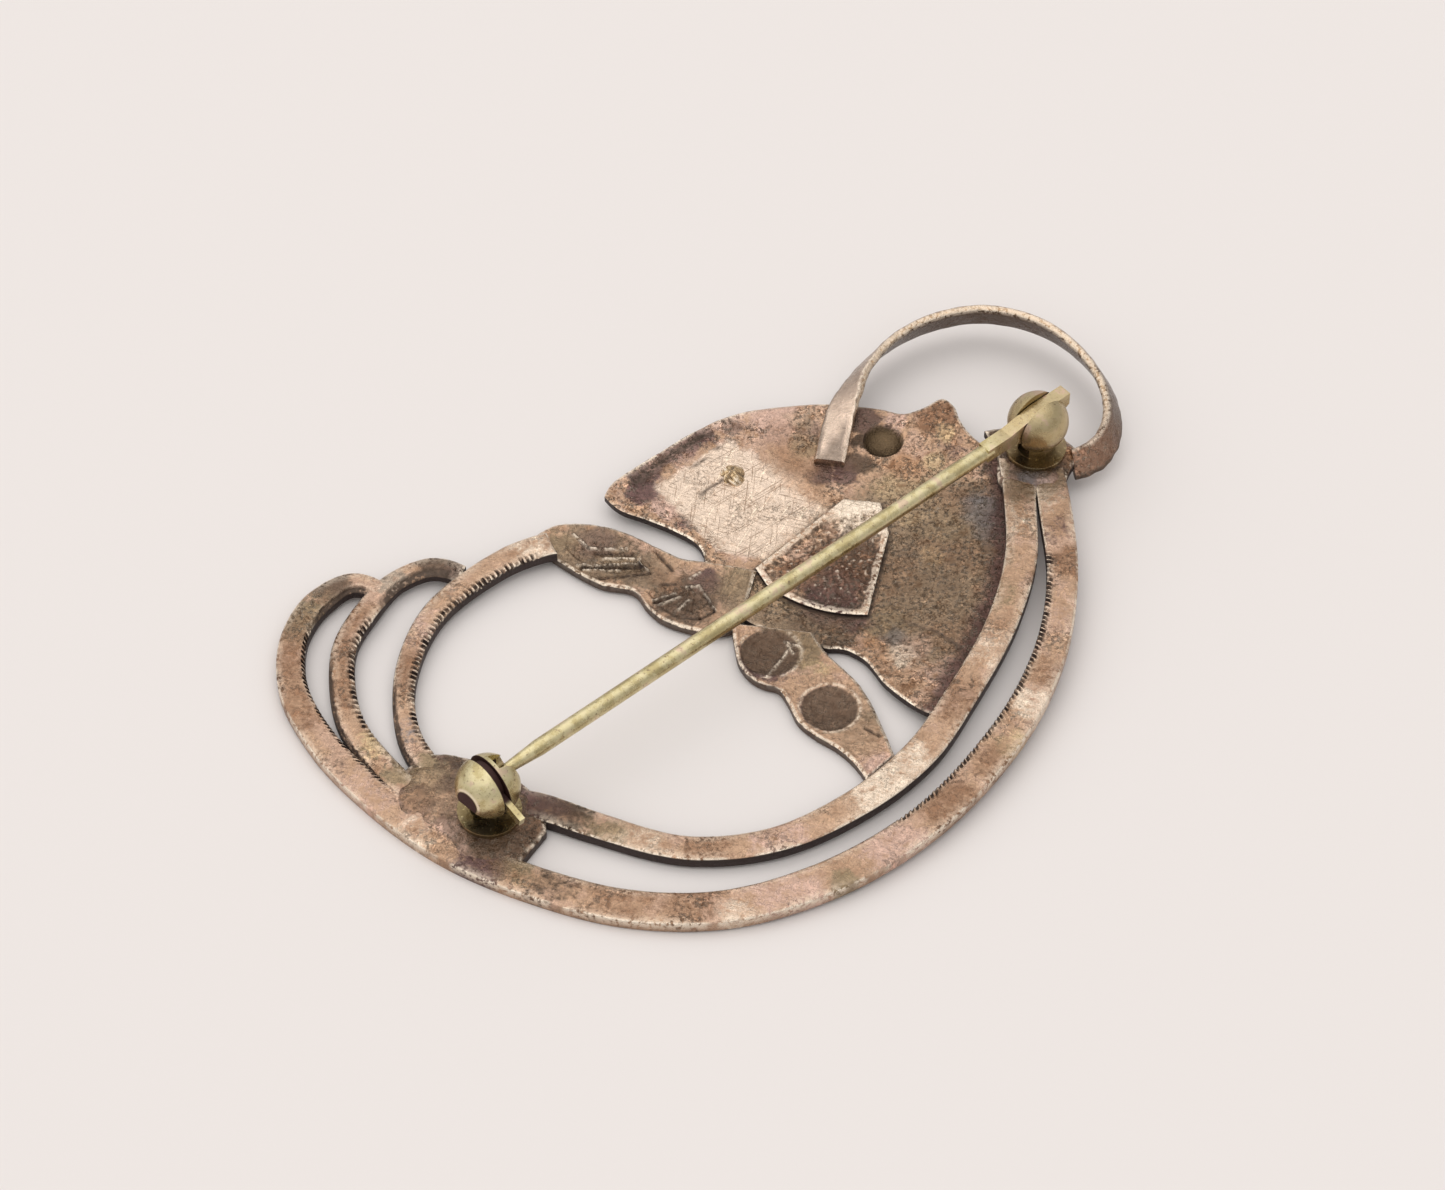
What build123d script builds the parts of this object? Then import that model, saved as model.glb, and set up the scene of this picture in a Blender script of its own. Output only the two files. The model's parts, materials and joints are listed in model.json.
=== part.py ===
"""Fish brooch of soldered silver strip, lying on its face with the brass pin, joint and catch upwards.

The pieces are laid out on a bench plane, as the maker would see them from the back: the underside of the
strips is at height 0 there, and the dished head plate bulges below it. The bench plane is then leaned so
that the brooch rests on the bulge of the head plate and on the outer strip, on the floor at Z = 0.
"""
import os
from math import acos, atan2, cos, degrees, hypot, radians, sin

from build123d import *

os.makedirs("parts", exist_ok=True)

# Overall plan size that the outline shares refer to
length = 56.0
breadth = 52.8

# Strip work
strip_gauge = 0.85
strip_width = 2.4
loop_width = 1.7
loop_inset = 0.03

# Head plate: a sheet dished to part of a large ball
plate_gauge = 0.55
dish_depth = 0.5
dish_rise = 3.0
dish_radius = 110.0
eye_radius = 1.35
eye_depth = 0.55
boss_wall = 0.35
boss_edge = 60

# Fins
fin_gauge = 0.6
fin_lap = 0.05
leaf_sink = 0.18
fin_dish_radius = 1.85
fin_dish_depth = 0.3

# Curl strip
curl_width = 2.1
curl_gauge = 0.65

# Small silver pieces
pad_proud = 0.15
tag_gauge = 0.45
tag_seat = 0.3
bead_radius = 0.75
bead_sink = 0.3

# Brass fittings
disc_radius = 2.05
disc_gauge = 0.4
ball_radius = 2.07
ball_height = 2.4
neck_radius = 1.3
pin_rise = 0.45

# Pin, tang and rivet
pin_radius = 0.55
pin_tip_radius = 0.28
tip_taper = 3.5
tang_width = 0.95
tang_top = 1.46
tang_back = 2.4
neck_length = 2.0
rivet_radius = 0.4
running_gap = 0.05

# Catch
slit_width = 0.5
lever_gauge = 0.4
lever_radius = 1.4
tab_reach = 3.45
tab_width = 0.7
tab_droop = 14.0
seat_wall = 0.3
sleeve_length = 1.0
sleeve_wall = 0.3
tunnel_radius = 1.0
tunnel_drop = 1.0
tunnel_shift = 0.2
mouth_height = 1.03
hook_drop = 0.7

# Lean of the bench plane: towards the catch, until the outer strip meets the floor
lean_heading = 237.0

# Places on the plan, as shares of length and breadth: the middle of the outline's box, the head plate's
# lowest point, its eye dent, the joint, the catch and the solder bead
BOX_SHARES = (-0.0156, -0.0147)
DISH_SHARES = (0.134, 0.081)
EYE_SHARES = (0.195, 0.259)
JOINT_SHARES = (0.377, 0.227)
CATCH_SHARES = (-0.261, -0.354)
BEAD_SHARES = (0.012, 0.201)

# Outer strip, from the joint round the belly to the outermost tail loop's hook:
# place across, place along, width, as shares of length, breadth and strip_width
OUTER_STRIP_SHARES = [
    (0.391, 0.200, 0.85),
    (0.397, 0.123, 0.92),
    (0.400, 0.028, 0.86),
    (0.386, -0.076, 0.88),
    (0.352, -0.176, 0.96),
    (0.300, -0.269, 1.00),
    (0.221, -0.367, 1.00),
    (0.116, -0.445, 1.04),
    (0.000, -0.487, 1.04),
    (-0.107, -0.485, 1.02),
    (-0.205, -0.453, 1.00),
    (-0.304, -0.400, 0.96),
    (-0.389, -0.324, 0.92),
    (-0.455, -0.242, 0.83),
    (-0.496, -0.148, 0.79),
    (-0.496, -0.074, 0.76),
    (-0.470, -0.017, 0.78),
    (-0.432, 0.010, 0.64),
    (-0.400, -0.006, 0.64),
]

# Inner strip, from the joint round to the top of the innermost tail loop: same columns
INNER_STRIP_SHARES = [
    (0.354, 0.218, 1.05),
    (0.355, 0.142, 0.90),
    (0.353, 0.057, 0.90),
    (0.330, -0.042, 0.87),
    (0.275, -0.169, 0.90),
    (0.225, -0.259, 0.95),
    (0.143, -0.341, 0.88),
    (0.054, -0.391, 0.81),
    (-0.036, -0.402, 0.78),
    (-0.141, -0.368, 0.83),
    (-0.202, -0.341, 0.87),
    (-0.307, -0.309, 0.83),
    (-0.352, -0.246, 0.68),
    (-0.366, -0.180, 0.60),
    (-0.361, -0.110, 0.64),
    (-0.336, -0.038, 0.70),
    (-0.291, 0.017, 0.75),
    (-0.243, 0.056, 0.79),
    (-0.202, 0.074, 0.83),
]

# Middle tail loop, from its hook on the inner strip down to the catch pad:
# place across, place along, width, as shares of length, breadth and loop_width
MIDDLE_LOOP_SHARES = [
    (-0.307, 0.023, 0.88),
    (-0.338, 0.036, 0.88),
    (-0.380, 0.017, 0.88),
    (-0.416, -0.036, 0.98),
    (-0.438, -0.095, 0.95),
    (-0.438, -0.152, 1.00),
    (-0.425, -0.212, 1.05),
    (-0.391, -0.271, 1.10),
    (-0.345, -0.326, 1.18),
]

# Head plate outline, clockwise from its left tip: places as shares of length and breadth
PLATE_CROWN_SHARES = [
    (-0.141, 0.154),
    (-0.134, 0.173),
    (-0.107, 0.202),
    (-0.071, 0.237),
    (-0.036, 0.268),
    (0.000, 0.292),
    (0.036, 0.307),
    (0.080, 0.316),
    (0.125, 0.320),
    (0.166, 0.316),
]
PLATE_LIPS_SHARES = [
    (0.166, 0.316),
    (0.193, 0.311),
    (0.221, 0.303),
    (0.245, 0.311),
    (0.270, 0.324),
    (0.282, 0.311),
    (0.288, 0.290),
    (0.302, 0.263),
    (0.345, 0.227),
]
PLATE_BACK_SHARES = [
    (0.345, 0.227),
    (0.355, 0.114),
    (0.348, 0.019),
    (0.327, -0.057),
    (0.282, -0.152),
    (0.250, -0.205),
    (0.232, -0.193),
]
PLATE_CHIN_SHARES = [
    (0.232, -0.193),
    (0.189, -0.146),
    (0.161, -0.098),
    (0.143, -0.085),
    (0.125, -0.083),
]
PLATE_ROOT_SHARES = [(0.125, -0.083), (0.050, -0.052), (0.005, -0.015), (-0.020, 0.055)]
PLATE_SLOT_SHARES = [
    (-0.020, 0.055),
    (-0.029, 0.085),
    (-0.054, 0.104),
    (-0.089, 0.121),
    (-0.125, 0.136),
    (-0.141, 0.154),
]

# Fins: upper and lower edges, left to right, as shares of length and breadth
LEFT_FIN_TOP_SHARES = [
    (-0.223, 0.095),
    (-0.196, 0.116),
    (-0.170, 0.118),
    (-0.143, 0.114),
    (-0.107, 0.098),
    (-0.071, 0.074),
    (-0.045, 0.059),
    (-0.020, 0.055),
]
LEFT_FIN_FOOT_SHARES = [
    (-0.212, 0.072),
    (-0.179, 0.042),
    (-0.143, 0.017),
    (-0.102, 0.004),
    (-0.089, -0.019),
    (-0.073, -0.038),
    (-0.045, -0.053),
    (-0.018, -0.061),
    (0.011, -0.057),
]
RIGHT_FIN_FOOT_SHARES = [
    (0.011, -0.057),
    (0.014, -0.081),
    (0.020, -0.112),
    (0.034, -0.134),
    (0.048, -0.144),
    (0.064, -0.150),
    (0.075, -0.170),
    (0.087, -0.201),
    (0.107, -0.223),
    (0.130, -0.241),
    (0.146, -0.259),
    (0.163, -0.290),
]
RIGHT_FIN_SIDE_SHARES = [
    (0.196, -0.254),
    (0.189, -0.229),
    (0.180, -0.199),
    (0.171, -0.172),
    (0.157, -0.142),
    (0.139, -0.117),
    (0.123, -0.097),
]

# Corner of the left fin under the head plate, and the right fin's edge under the plate and the left fin
LEFT_FIN_ROOT_SHARES = [(-0.020, 0.055), (0.040, 0.010), (0.011, -0.057)]
RIGHT_FIN_ROOT_SHARES = [(0.123, -0.097), (0.090, -0.030), (0.000, -0.040), (0.011, -0.057)]

# Sunk leaf panels of the left fin: the tips of each leaf and the bulge of its two sides
LEAF_PANELS_SHARES = [
    ((-0.193, 0.078), (-0.134, 0.098), (-0.082, 0.032), (-0.130, 0.028)),
    ((-0.089, 0.027), (-0.040, 0.036), (-0.006, -0.028), (-0.061, -0.040)),
]
FIN_DISHES_SHARES = [(0.055, -0.093), (0.123, -0.180)]

# Pads under the fittings, and the tag plate
CATCH_PAD_SHARES = [
    (-0.197, -0.381),
    (-0.220, -0.428),
    (-0.268, -0.436),
    (-0.330, -0.388),
    (-0.375, -0.331),
    (-0.352, -0.275),
    (-0.328, -0.260),
    (-0.286, -0.267),
    (-0.236, -0.295),
    (-0.205, -0.331),
]
JOINT_PAD_SHARES = [
    (0.317, 0.265),
    (0.339, 0.271),
    (0.384, 0.269),
    (0.414, 0.250),
    (0.432, 0.222),
    (0.414, 0.189),
    (0.409, 0.163),
    (0.371, 0.155),
    (0.334, 0.170),
    (0.330, 0.227),
]
TAG_SIDES_SHARES = [
    (0.170, -0.030),
    (0.198, 0.104),
    (0.189, 0.155),
    (0.145, 0.161),
    (0.039, 0.046),
    (0.052, 0.019),
]
TAG_SWEEP_SHARES = (0.112, -0.021)

# Curl, from its flat end on the head plate to the joint pad: place across, place along, height over
# the head plate at the flat end as a share of curl_width, lean from standing on edge in degrees
CURL_RUN_SHARES = [
    (0.129, 0.220, 0.13, 90),
    (0.138, 0.271, 0.22, 82),
    (0.150, 0.320, 0.31, 62),
    (0.166, 0.362, 0.36, 38),
    (0.202, 0.415, 0.39, 24),
    (0.250, 0.453, 0.39, 19),
    (0.323, 0.473, 0.39, 18),
    (0.395, 0.449, 0.39, 20),
    (0.446, 0.392, 0.39, 24),
    (0.471, 0.326, 0.39, 27),
    (0.471, 0.269, 0.36, 30),
    (0.453, 0.231, 0.31, 35),
    (0.422, 0.214, 0.27, 40),
]

# Side view of the tang's underside, from the pin round the rivet: places as shares of ball_radius
TANG_HEEL_SHARES = [(-1.45, -0.07), (-0.87, -0.22), (-0.43, -0.46), (0.14, -0.48), (0.58, -0.17)]


def spot(x_share, y_share):
    """Place on the bench from shares of the plan size."""
    return Vector(x_share * length, y_share * breadth)


def strip_edges(rows, width):
    """Left and right edge of a strip that follows the rows' places and widths."""
    run = [spot(row[0], row[1]) for row in rows]
    left = []
    right = []
    for i, place in enumerate(run):
        before = run[max(i - 1, 0)]
        after = run[min(i + 1, len(run) - 1)]
        side = (after - before).normalized().rotate(Axis.Z, 90) * (rows[i][2] * width / 2)
        left.append(place + side)
        right.append(place - side)
    return left, right


# The bench plane: leaned about a level line, until the dish and the outer strip's far edge meet the floor
dish_place = spot(*DISH_SHARES)
outer_ball = dish_radius + plate_gauge
dish_height = dish_radius - dish_depth
lean_line = Vector(cos(radians(lean_heading)), sin(radians(lean_heading)))
outer_edge = strip_edges(OUTER_STRIP_SHARES, strip_width)[0]
contact_reach = max(lean_line.dot(place - dish_place) for place in outer_edge)
lean = atan2(contact_reach, dish_height) - acos(outer_ball / hypot(contact_reach, dish_height))
normal = lean_line * sin(lean) + Vector(0, 0, cos(lean))
across = Vector(1, 0, -normal.X / normal.Z)
bench_turn = Plane(origin=(0, 0, 0), x_dir=across, z_dir=normal)
box_middle = bench_turn.from_local_coords(spot(*BOX_SHARES))
dish_centre = bench_turn.from_local_coords(dish_place + Vector(0, 0, dish_height))
bench = Plane(origin=(-box_middle.X, -box_middle.Y, outer_ball - dish_centre.Z), x_dir=across, z_dir=normal)

joint_place = spot(*JOINT_SHARES)
catch_place = spot(*CATCH_SHARES)
pin_line = joint_place - catch_place
pin_heading = degrees(atan2(pin_line.Y, pin_line.X))
pad_top = strip_gauge + pad_proud
ball_level = pad_top + disc_gauge + ball_height
cutter_length = 3 * ball_radius


def fitting_plane(place):
    """Plane of a fitting: its origin at the ball's centre, and X along the pin, towards the joint."""
    return Plane(bench.location * Location((place.X, place.Y, ball_level), (0, 0, pin_heading)))


def dish_top(place):
    """Height of the head plate's back over the bench at a place."""
    return dish_height - (dish_radius**2 - (place - dish_place).length ** 2) ** 0.5


def strip(rows, width, inset=0):
    """Flat strip along a run, its width following the rows, thinner by an inset on both faces."""
    left, right = strip_edges(rows, width)
    with BuildPart(bench) as piece:
        with BuildSketch(bench.offset(inset)):
            with BuildLine():
                Spline(*left)
                Line(left[-1], right[-1])
                Spline(*reversed(right))
                Line(right[0], left[0])
            make_face()
        extrude(amount=strip_gauge - 2 * inset)
    return piece.part


def block(outline, low, high):
    """Flat piece with straight sides between two heights over the bench."""
    with BuildPart(bench) as piece:
        with BuildSketch(bench.offset(low)):
            with BuildLine():
                Polyline(*[spot(*place) for place in outline], close=True)
            make_face()
        extrude(amount=high - low)
    return piece.part


def fittings_base():
    """Base disc and ball of a fitting, the ball's centre at its plane's origin."""
    with Locations((0, 0, -ball_height - disc_gauge)):
        Cylinder(disc_radius, disc_gauge, align=(Align.CENTER, Align.CENTER, Align.MIN))
    with Locations((0, 0, -ball_height)):
        Cylinder(neck_radius, ball_height, align=(Align.CENTER, Align.CENTER, Align.MIN))
    Sphere(ball_radius)


def make_head_plate():
    """Head plate, cut to its outline from a shell of the dish's ball, with the eye pushed in."""
    with BuildPart(bench) as plate:
        with BuildSketch(bench.offset(-dish_depth - plate_gauge)):
            with BuildLine():
                Spline(*[spot(*place) for place in PLATE_CROWN_SHARES])
                Spline(*[spot(*place) for place in PLATE_LIPS_SHARES])
                Polyline(*[spot(*place) for place in PLATE_BACK_SHARES])
                Spline(*[spot(*place) for place in PLATE_CHIN_SHARES])
                Polyline(*[spot(*place) for place in PLATE_ROOT_SHARES])
                Spline(*[spot(*place) for place in PLATE_SLOT_SHARES])
            make_face()
        extrude(amount=dish_rise)
        with Locations(dish_place + Vector(0, 0, dish_height)):
            Sphere(outer_ball, rotation=(90, 0, 0), mode=Mode.INTERSECT)
            Sphere(dish_radius, rotation=(90, 0, 0), mode=Mode.SUBTRACT)
        eye_ball = (eye_radius**2 + eye_depth**2) / (2 * eye_depth)
        eye = spot(*EYE_SHARES)
        with Locations(eye + Vector(0, 0, dish_top(eye) - eye_depth + eye_ball)):
            Sphere(eye_ball + boss_wall, arc_size2=-boss_edge)
            Sphere(eye_ball, mode=Mode.SUBTRACT)
    return plate.part


def make_left_fin():
    """Left fin with its two sunk leaf panels."""
    with BuildPart(bench) as fin:
        with BuildSketch(bench.offset(fin_lap)):
            with BuildLine():
                Spline(*[spot(*place) for place in LEFT_FIN_TOP_SHARES])
                Polyline(*[spot(*place) for place in LEFT_FIN_ROOT_SHARES])
                Spline(*[spot(*place) for place in LEFT_FIN_FOOT_SHARES])
                Line(spot(*LEFT_FIN_FOOT_SHARES[0]), spot(*LEFT_FIN_TOP_SHARES[0]))
            make_face()
        extrude(amount=-fin_gauge)
        with BuildSketch(bench.offset(fin_lap)):
            for first, upper, last, lower in LEAF_PANELS_SHARES:
                with BuildLine():
                    ThreePointArc(spot(*first), spot(*upper), spot(*last))
                    ThreePointArc(spot(*last), spot(*lower), spot(*first))
                make_face()
        extrude(amount=-leaf_sink, mode=Mode.SUBTRACT)
    return fin.part


def make_right_fin():
    """Right fin, which runs from the left fin to the inner strip, with its two dished panels."""
    with BuildPart(bench) as fin:
        with BuildSketch(bench.offset(fin_lap)):
            with BuildLine():
                Spline(*[spot(*place) for place in RIGHT_FIN_FOOT_SHARES])
                Line(spot(*RIGHT_FIN_FOOT_SHARES[-1]), spot(*RIGHT_FIN_SIDE_SHARES[0]))
                Spline(*[spot(*place) for place in RIGHT_FIN_SIDE_SHARES])
                Polyline(*[spot(*place) for place in RIGHT_FIN_ROOT_SHARES])
            make_face()
        extrude(amount=-fin_gauge)
        dish_ball = (fin_dish_radius**2 + fin_dish_depth**2) / (2 * fin_dish_depth)
        for share in FIN_DISHES_SHARES:
            place = spot(*share)
            with Locations((place.X, place.Y, fin_lap - fin_dish_depth + dish_ball)):
                Sphere(dish_ball, mode=Mode.SUBTRACT)
    return fin.part


def make_curl():
    """Curl strip, lofted through its leaning sections."""
    flat_end = spot(CURL_RUN_SHARES[0][0], CURL_RUN_SHARES[0][1])
    run = []
    for row in CURL_RUN_SHARES:
        run.append(spot(row[0], row[1]) + Vector(0, 0, dish_top(flat_end) + row[2] * curl_width))
    with BuildPart(bench) as curl:
        for i, place in enumerate(run):
            along = (run[min(i + 1, len(run) - 1)] - run[max(i - 1, 0)]).normalized()
            outward = Vector(along.X, along.Y).normalized().rotate(Axis.Z, 90)
            turn = radians(CURL_RUN_SHARES[i][3])
            rise = Vector(0, 0, 1) * cos(turn) - outward * sin(turn)
            frame = Plane(origin=place, x_dir=rise, z_dir=along)
            with BuildSketch(Plane(bench.location * frame.location)):
                Rectangle(curl_width, curl_gauge)
        loft(ruled=True)
    return curl.part


def make_tag():
    """Bare fan-shaped tag plate, sunk a little into the dished sheet."""
    with BuildPart(bench) as tag:
        with BuildSketch(bench.offset(-dish_depth - tag_seat)):
            with BuildLine():
                sides = Polyline(*[spot(*place) for place in TAG_SIDES_SHARES])
                ThreePointArc(sides @ 1, spot(*TAG_SWEEP_SHARES), sides @ 0)
            make_face()
        extrude(amount=tag_gauge + tag_seat)
    return tag.part


def make_bead():
    """Upper half of the solder bead, standing in the head plate's sheet."""
    place = spot(*BEAD_SHARES)
    with BuildPart(bench) as solder:
        with Locations(place + Vector(0, 0, dish_top(place) - bead_sink)):
            Sphere(bead_radius, arc_size1=0)
    return solder.part


outer_strip = strip(OUTER_STRIP_SHARES, strip_width)
inner_strip = strip(INNER_STRIP_SHARES, strip_width)
middle_loop = strip(MIDDLE_LOOP_SHARES, loop_width, loop_inset)
head_plate = make_head_plate()
left_fin = make_left_fin()
right_fin = make_right_fin()
curl = make_curl()
tag = make_tag()
bead = make_bead()
catch_pad = block(CATCH_PAD_SHARES, 0, pad_top)
joint_pad = block(JOINT_PAD_SHARES, 0, pad_top)

with BuildPart() as silver_fish:
    add(outer_strip)
    add(inner_strip)
    add(middle_loop)
    add(catch_pad)
    add(joint_pad)
    add(head_plate)
    add(left_fin)
    add(right_fin)
    add(tag)
    add(curl)
    add(bead)
silver_fish.part.label = "silver_fish"
export_step(silver_fish.part, "parts/silver_fish.step")

# The joint's plane: X runs from the catch to the joint, and the rivet lies along Y
joint_plane = fitting_plane(joint_place)
slot_width = tang_width + 2 * running_gap
with BuildPart(joint_plane) as joint:
    fittings_base()
    with Locations((0, 0, -ball_height + running_gap)):
        Box(
            cutter_length,
            slot_width,
            cutter_length,
            align=(Align.CENTER, Align.CENTER, Align.MIN),
            mode=Mode.SUBTRACT,
        )
    Cylinder(rivet_radius, cutter_length, rotation=(90, 0, 0), mode=Mode.SUBTRACT)
joint.part.label = "joint"
export_step(joint.part, "parts/joint.step")

with BuildPart(joint_plane) as hinge_rivet:
    Sphere(ball_radius)
    Cylinder(rivet_radius, cutter_length, rotation=(90, 0, 0), mode=Mode.INTERSECT)
hinge_rivet.part.label = "hinge_rivet"
export_step(hinge_rivet.part, "parts/hinge_rivet.step")

# The pin: its tip stands in the catch ball's open seat, and a flattened neck joins its tang and round stem
tip_end = -pin_line.length + slit_width / 2 + seat_wall + running_gap
heel = [(share[0] * ball_radius, share[1] * ball_radius) for share in TANG_HEEL_SHARES]
shoulder = heel[0][0]
neck_end = shoulder - neck_length
stem_end = neck_end + pin_radius
with BuildPart(joint_plane) as pin_stem:
    side_view = Plane(joint_plane.location * Location((0, 0, 0), (90, 0, 0)))
    with BuildSketch(side_view):
        with BuildLine():
            Spline(*heel)
            Line(heel[-1], (tang_back, pin_rise))
            Line((tang_back, pin_rise), (tang_back, tang_top))
            Line((tang_back, tang_top), (-rivet_radius, tang_top))
            Line((-rivet_radius, tang_top), (shoulder, pin_rise + pin_radius))
            Line((shoulder, pin_rise + pin_radius), (neck_end, pin_rise + pin_radius))
            Line((neck_end, pin_rise + pin_radius), (neck_end, pin_rise - pin_radius))
            Line((neck_end, pin_rise - pin_radius), heel[0])
        make_face()
    extrude(amount=tang_width / 2, both=True)
    stem_line = Plane(joint_plane.location * Location((tip_end, 0, pin_rise), (0, 90, 0)))
    with BuildSketch(stem_line):
        Circle(pin_tip_radius)
    with BuildSketch(stem_line.offset(tip_taper)):
        Circle(pin_radius)
    loft()
    with BuildSketch(stem_line.offset(tip_taper)):
        Circle(pin_radius)
    extrude(amount=stem_end - tip_end - tip_taper)
    Cylinder(rivet_radius + running_gap, cutter_length, rotation=(90, 0, 0), mode=Mode.SUBTRACT)
pin_stem.part.label = "pin_stem"
export_step(pin_stem.part, "parts/pin_stem.step")

# The catch's plane: X runs towards the joint, and the hook's mouth opens towards -Y
catch_plane = fitting_plane(catch_place)
seat_radius = pin_radius + running_gap
sleeve_radius = seat_radius + sleeve_wall
bore_radius = sleeve_radius + running_gap
notch_width = 2 * seat_radius
with BuildPart(catch_plane) as catch:
    fittings_base()
    with Locations((0, 0, pin_rise - lever_radius - 2 * running_gap)):
        Box(
            slit_width,
            cutter_length,
            cutter_length,
            align=(Align.CENTER, Align.CENTER, Align.MIN),
            mode=Mode.SUBTRACT,
        )
    with Locations((0, -tunnel_shift, -tunnel_drop)):
        Cylinder(
            tunnel_radius,
            cutter_length,
            rotation=(0, -90, 0),
            align=(Align.CENTER, Align.CENTER, Align.MIN),
            mode=Mode.SUBTRACT,
        )
    with Locations((0, 0, -ball_height)):
        Box(
            cutter_length,
            cutter_length,
            mouth_height,
            align=(Align.MAX, Align.MAX, Align.MIN),
            mode=Mode.SUBTRACT,
        )
        Box(
            cutter_length,
            cutter_length,
            ball_height - hook_drop,
            align=(Align.MIN, Align.MAX, Align.MIN),
            mode=Mode.SUBTRACT,
        )
    with Locations((0, 0, pin_rise)):
        Cylinder(
            bore_radius,
            cutter_length,
            rotation=(0, 90, 0),
            align=(Align.CENTER, Align.CENTER, Align.MIN),
            mode=Mode.SUBTRACT,
        )
    with Locations((slit_width / 2 + seat_wall, 0, pin_rise)):
        Box(
            cutter_length,
            notch_width,
            cutter_length,
            align=(Align.MIN, Align.CENTER, Align.MIN),
            mode=Mode.SUBTRACT,
        )
catch.part.label = "catch"
export_step(catch.part, "parts/catch.step")

# The lever: a disc in the slit with its thumb tab, and a split sleeve round the pin's tip
lever_plane = Plane(catch_plane.location * Location((0, 0, pin_rise)))
with BuildPart(lever_plane) as catch_lever:
    Cylinder(lever_radius, lever_gauge, rotation=(0, 90, 0))
    with Locations(Location((0, 0, 0), (tab_droop, 0, 0))):
        Box(lever_gauge, tab_reach, tab_width, align=(Align.CENTER, Align.MAX, Align.CENTER))
    Cylinder(
        sleeve_radius,
        lever_gauge / 2 + sleeve_length,
        rotation=(0, 90, 0),
        align=(Align.CENTER, Align.CENTER, Align.MIN),
    )
    with Locations((lever_gauge / 2, 0, 0)):
        Cylinder(
            seat_radius,
            cutter_length,
            rotation=(0, 90, 0),
            align=(Align.CENTER, Align.CENTER, Align.MIN),
            mode=Mode.SUBTRACT,
        )
        Box(
            cutter_length,
            notch_width,
            cutter_length,
            align=(Align.MIN, Align.CENTER, Align.MIN),
            mode=Mode.SUBTRACT,
        )
catch_lever.part.label = "catch_lever"
export_step(catch_lever.part, "parts/catch_lever.step")
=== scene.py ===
"""Old silver fish brooch with a brass pin, lying on its face on a pale table.

The pieces are modelled on the maker's bench in millimetres: X to the right, Y away from the camera and Z
up, with the underside of the strips at height 0. The bench plane is read from the frame's two joint axes,
and each finished piece is carried from the bench to the frame's own place and size.
"""
import json
from math import cos, hypot, pi, radians, sin

import bpy
import numpy as np
from mathutils import Matrix, Vector, kdtree, noise


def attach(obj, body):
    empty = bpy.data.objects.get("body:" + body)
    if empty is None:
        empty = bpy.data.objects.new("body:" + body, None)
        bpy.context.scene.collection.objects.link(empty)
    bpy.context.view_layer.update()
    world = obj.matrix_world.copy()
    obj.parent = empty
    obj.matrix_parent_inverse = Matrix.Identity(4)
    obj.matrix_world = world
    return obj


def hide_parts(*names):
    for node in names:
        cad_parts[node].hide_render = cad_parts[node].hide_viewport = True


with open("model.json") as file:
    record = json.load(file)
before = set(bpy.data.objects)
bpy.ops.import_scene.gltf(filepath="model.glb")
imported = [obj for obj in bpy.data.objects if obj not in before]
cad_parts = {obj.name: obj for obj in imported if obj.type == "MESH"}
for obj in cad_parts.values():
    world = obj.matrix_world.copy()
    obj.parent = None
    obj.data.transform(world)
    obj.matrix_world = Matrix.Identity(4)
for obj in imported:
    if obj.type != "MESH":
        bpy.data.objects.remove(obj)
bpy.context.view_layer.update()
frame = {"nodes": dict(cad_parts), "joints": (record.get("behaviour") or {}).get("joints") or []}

MM = 0.001

# Plan size that the shares refer to, and the metal's sizes, in millimetres
LENGTH = 56.0
BREADTH = 52.8
STRIP_GAUGE = 0.85
STRIP_WIDTH = 2.4
LOOP_WIDTH = 1.7
LOOP_INSET = 0.03
PLATE_GAUGE = 0.55
DISH_DEPTH = 0.5
DISH_RADIUS = 110.0
DISH_SHARES = (0.134, 0.081)
EYE_SHARES = (0.195, 0.259)
EYE_RADIUS = 1.35
EYE_DEPTH = 0.7
FIN_GAUGE = 0.6
FIN_LAP = 0.05
FIN_DISH_DEPTH = 0.3
CURL_WIDTH = 2.1
CURL_GAUGE = 0.65
CURL_GROOVES = 9
GROOVE_DRIFT = 20
GROOVE_DEPTH = 0.04
PAD_PROUD = 0.15
PAD_FALL = 0.32
TAG_GAUGE = 0.45
TAG_SINK = 0.17
TICK_PITCH = 0.41
TICK_DEPTH = 0.18
SHADED_EDGE_DEPTH = 0.22

BEAD_SHARES = (0.012, 0.201)
BEAD_RADIUS = 0.95
BEAD_SINK = 0.45
BEAD_LUMPS = 0.26

# Brass fittings
JOINT_SHARES = (0.377, 0.227)
CATCH_SHARES = (-0.261, -0.354)
DISC_GAUGE = 0.4
BALL_HEIGHT = 2.4
SLIT_HALF = 0.25
# Painted hollow at the catch ball's mouth: its radius, and its offset from the ball's middle
MOUTH_RADIUS = 0.85
MOUTH_OFFSET = (-1.33, -1.54, 0.10)
BALL_LEVEL = STRIP_GAUGE + PAD_PROUD + DISC_GAUGE + BALL_HEIGHT

# Fineness of the meshes: steps along the strips and fins, places round the outlines, steps in a span, and
# places along and sides round the curl
STRIP_STEP = 0.08
FIN_STEP = 0.09
PLATE_PLACES = 470
TAG_PLACES = 340
PAD_PLACES = 200
SPAN_STEPS = 24
CURL_PLACES = 260
CURL_SIDES = 32

# Lines of the mesh along the middle of a strip and of a fin
STRIP_COLUMNS = 8
FIN_COLUMNS = 44

# Lines along a strip's rim, and rings at an outline's rim as multiples of the first, down to the last one
RIM_LINES = np.array([0, 0.05, 0.11, 0.18, 0.27, 0.37, 0.48])
RIM_RINGS = (1, 2.2, 3.6, 5.4, 7.4, 10)
LAST_RING = 0.03

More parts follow.
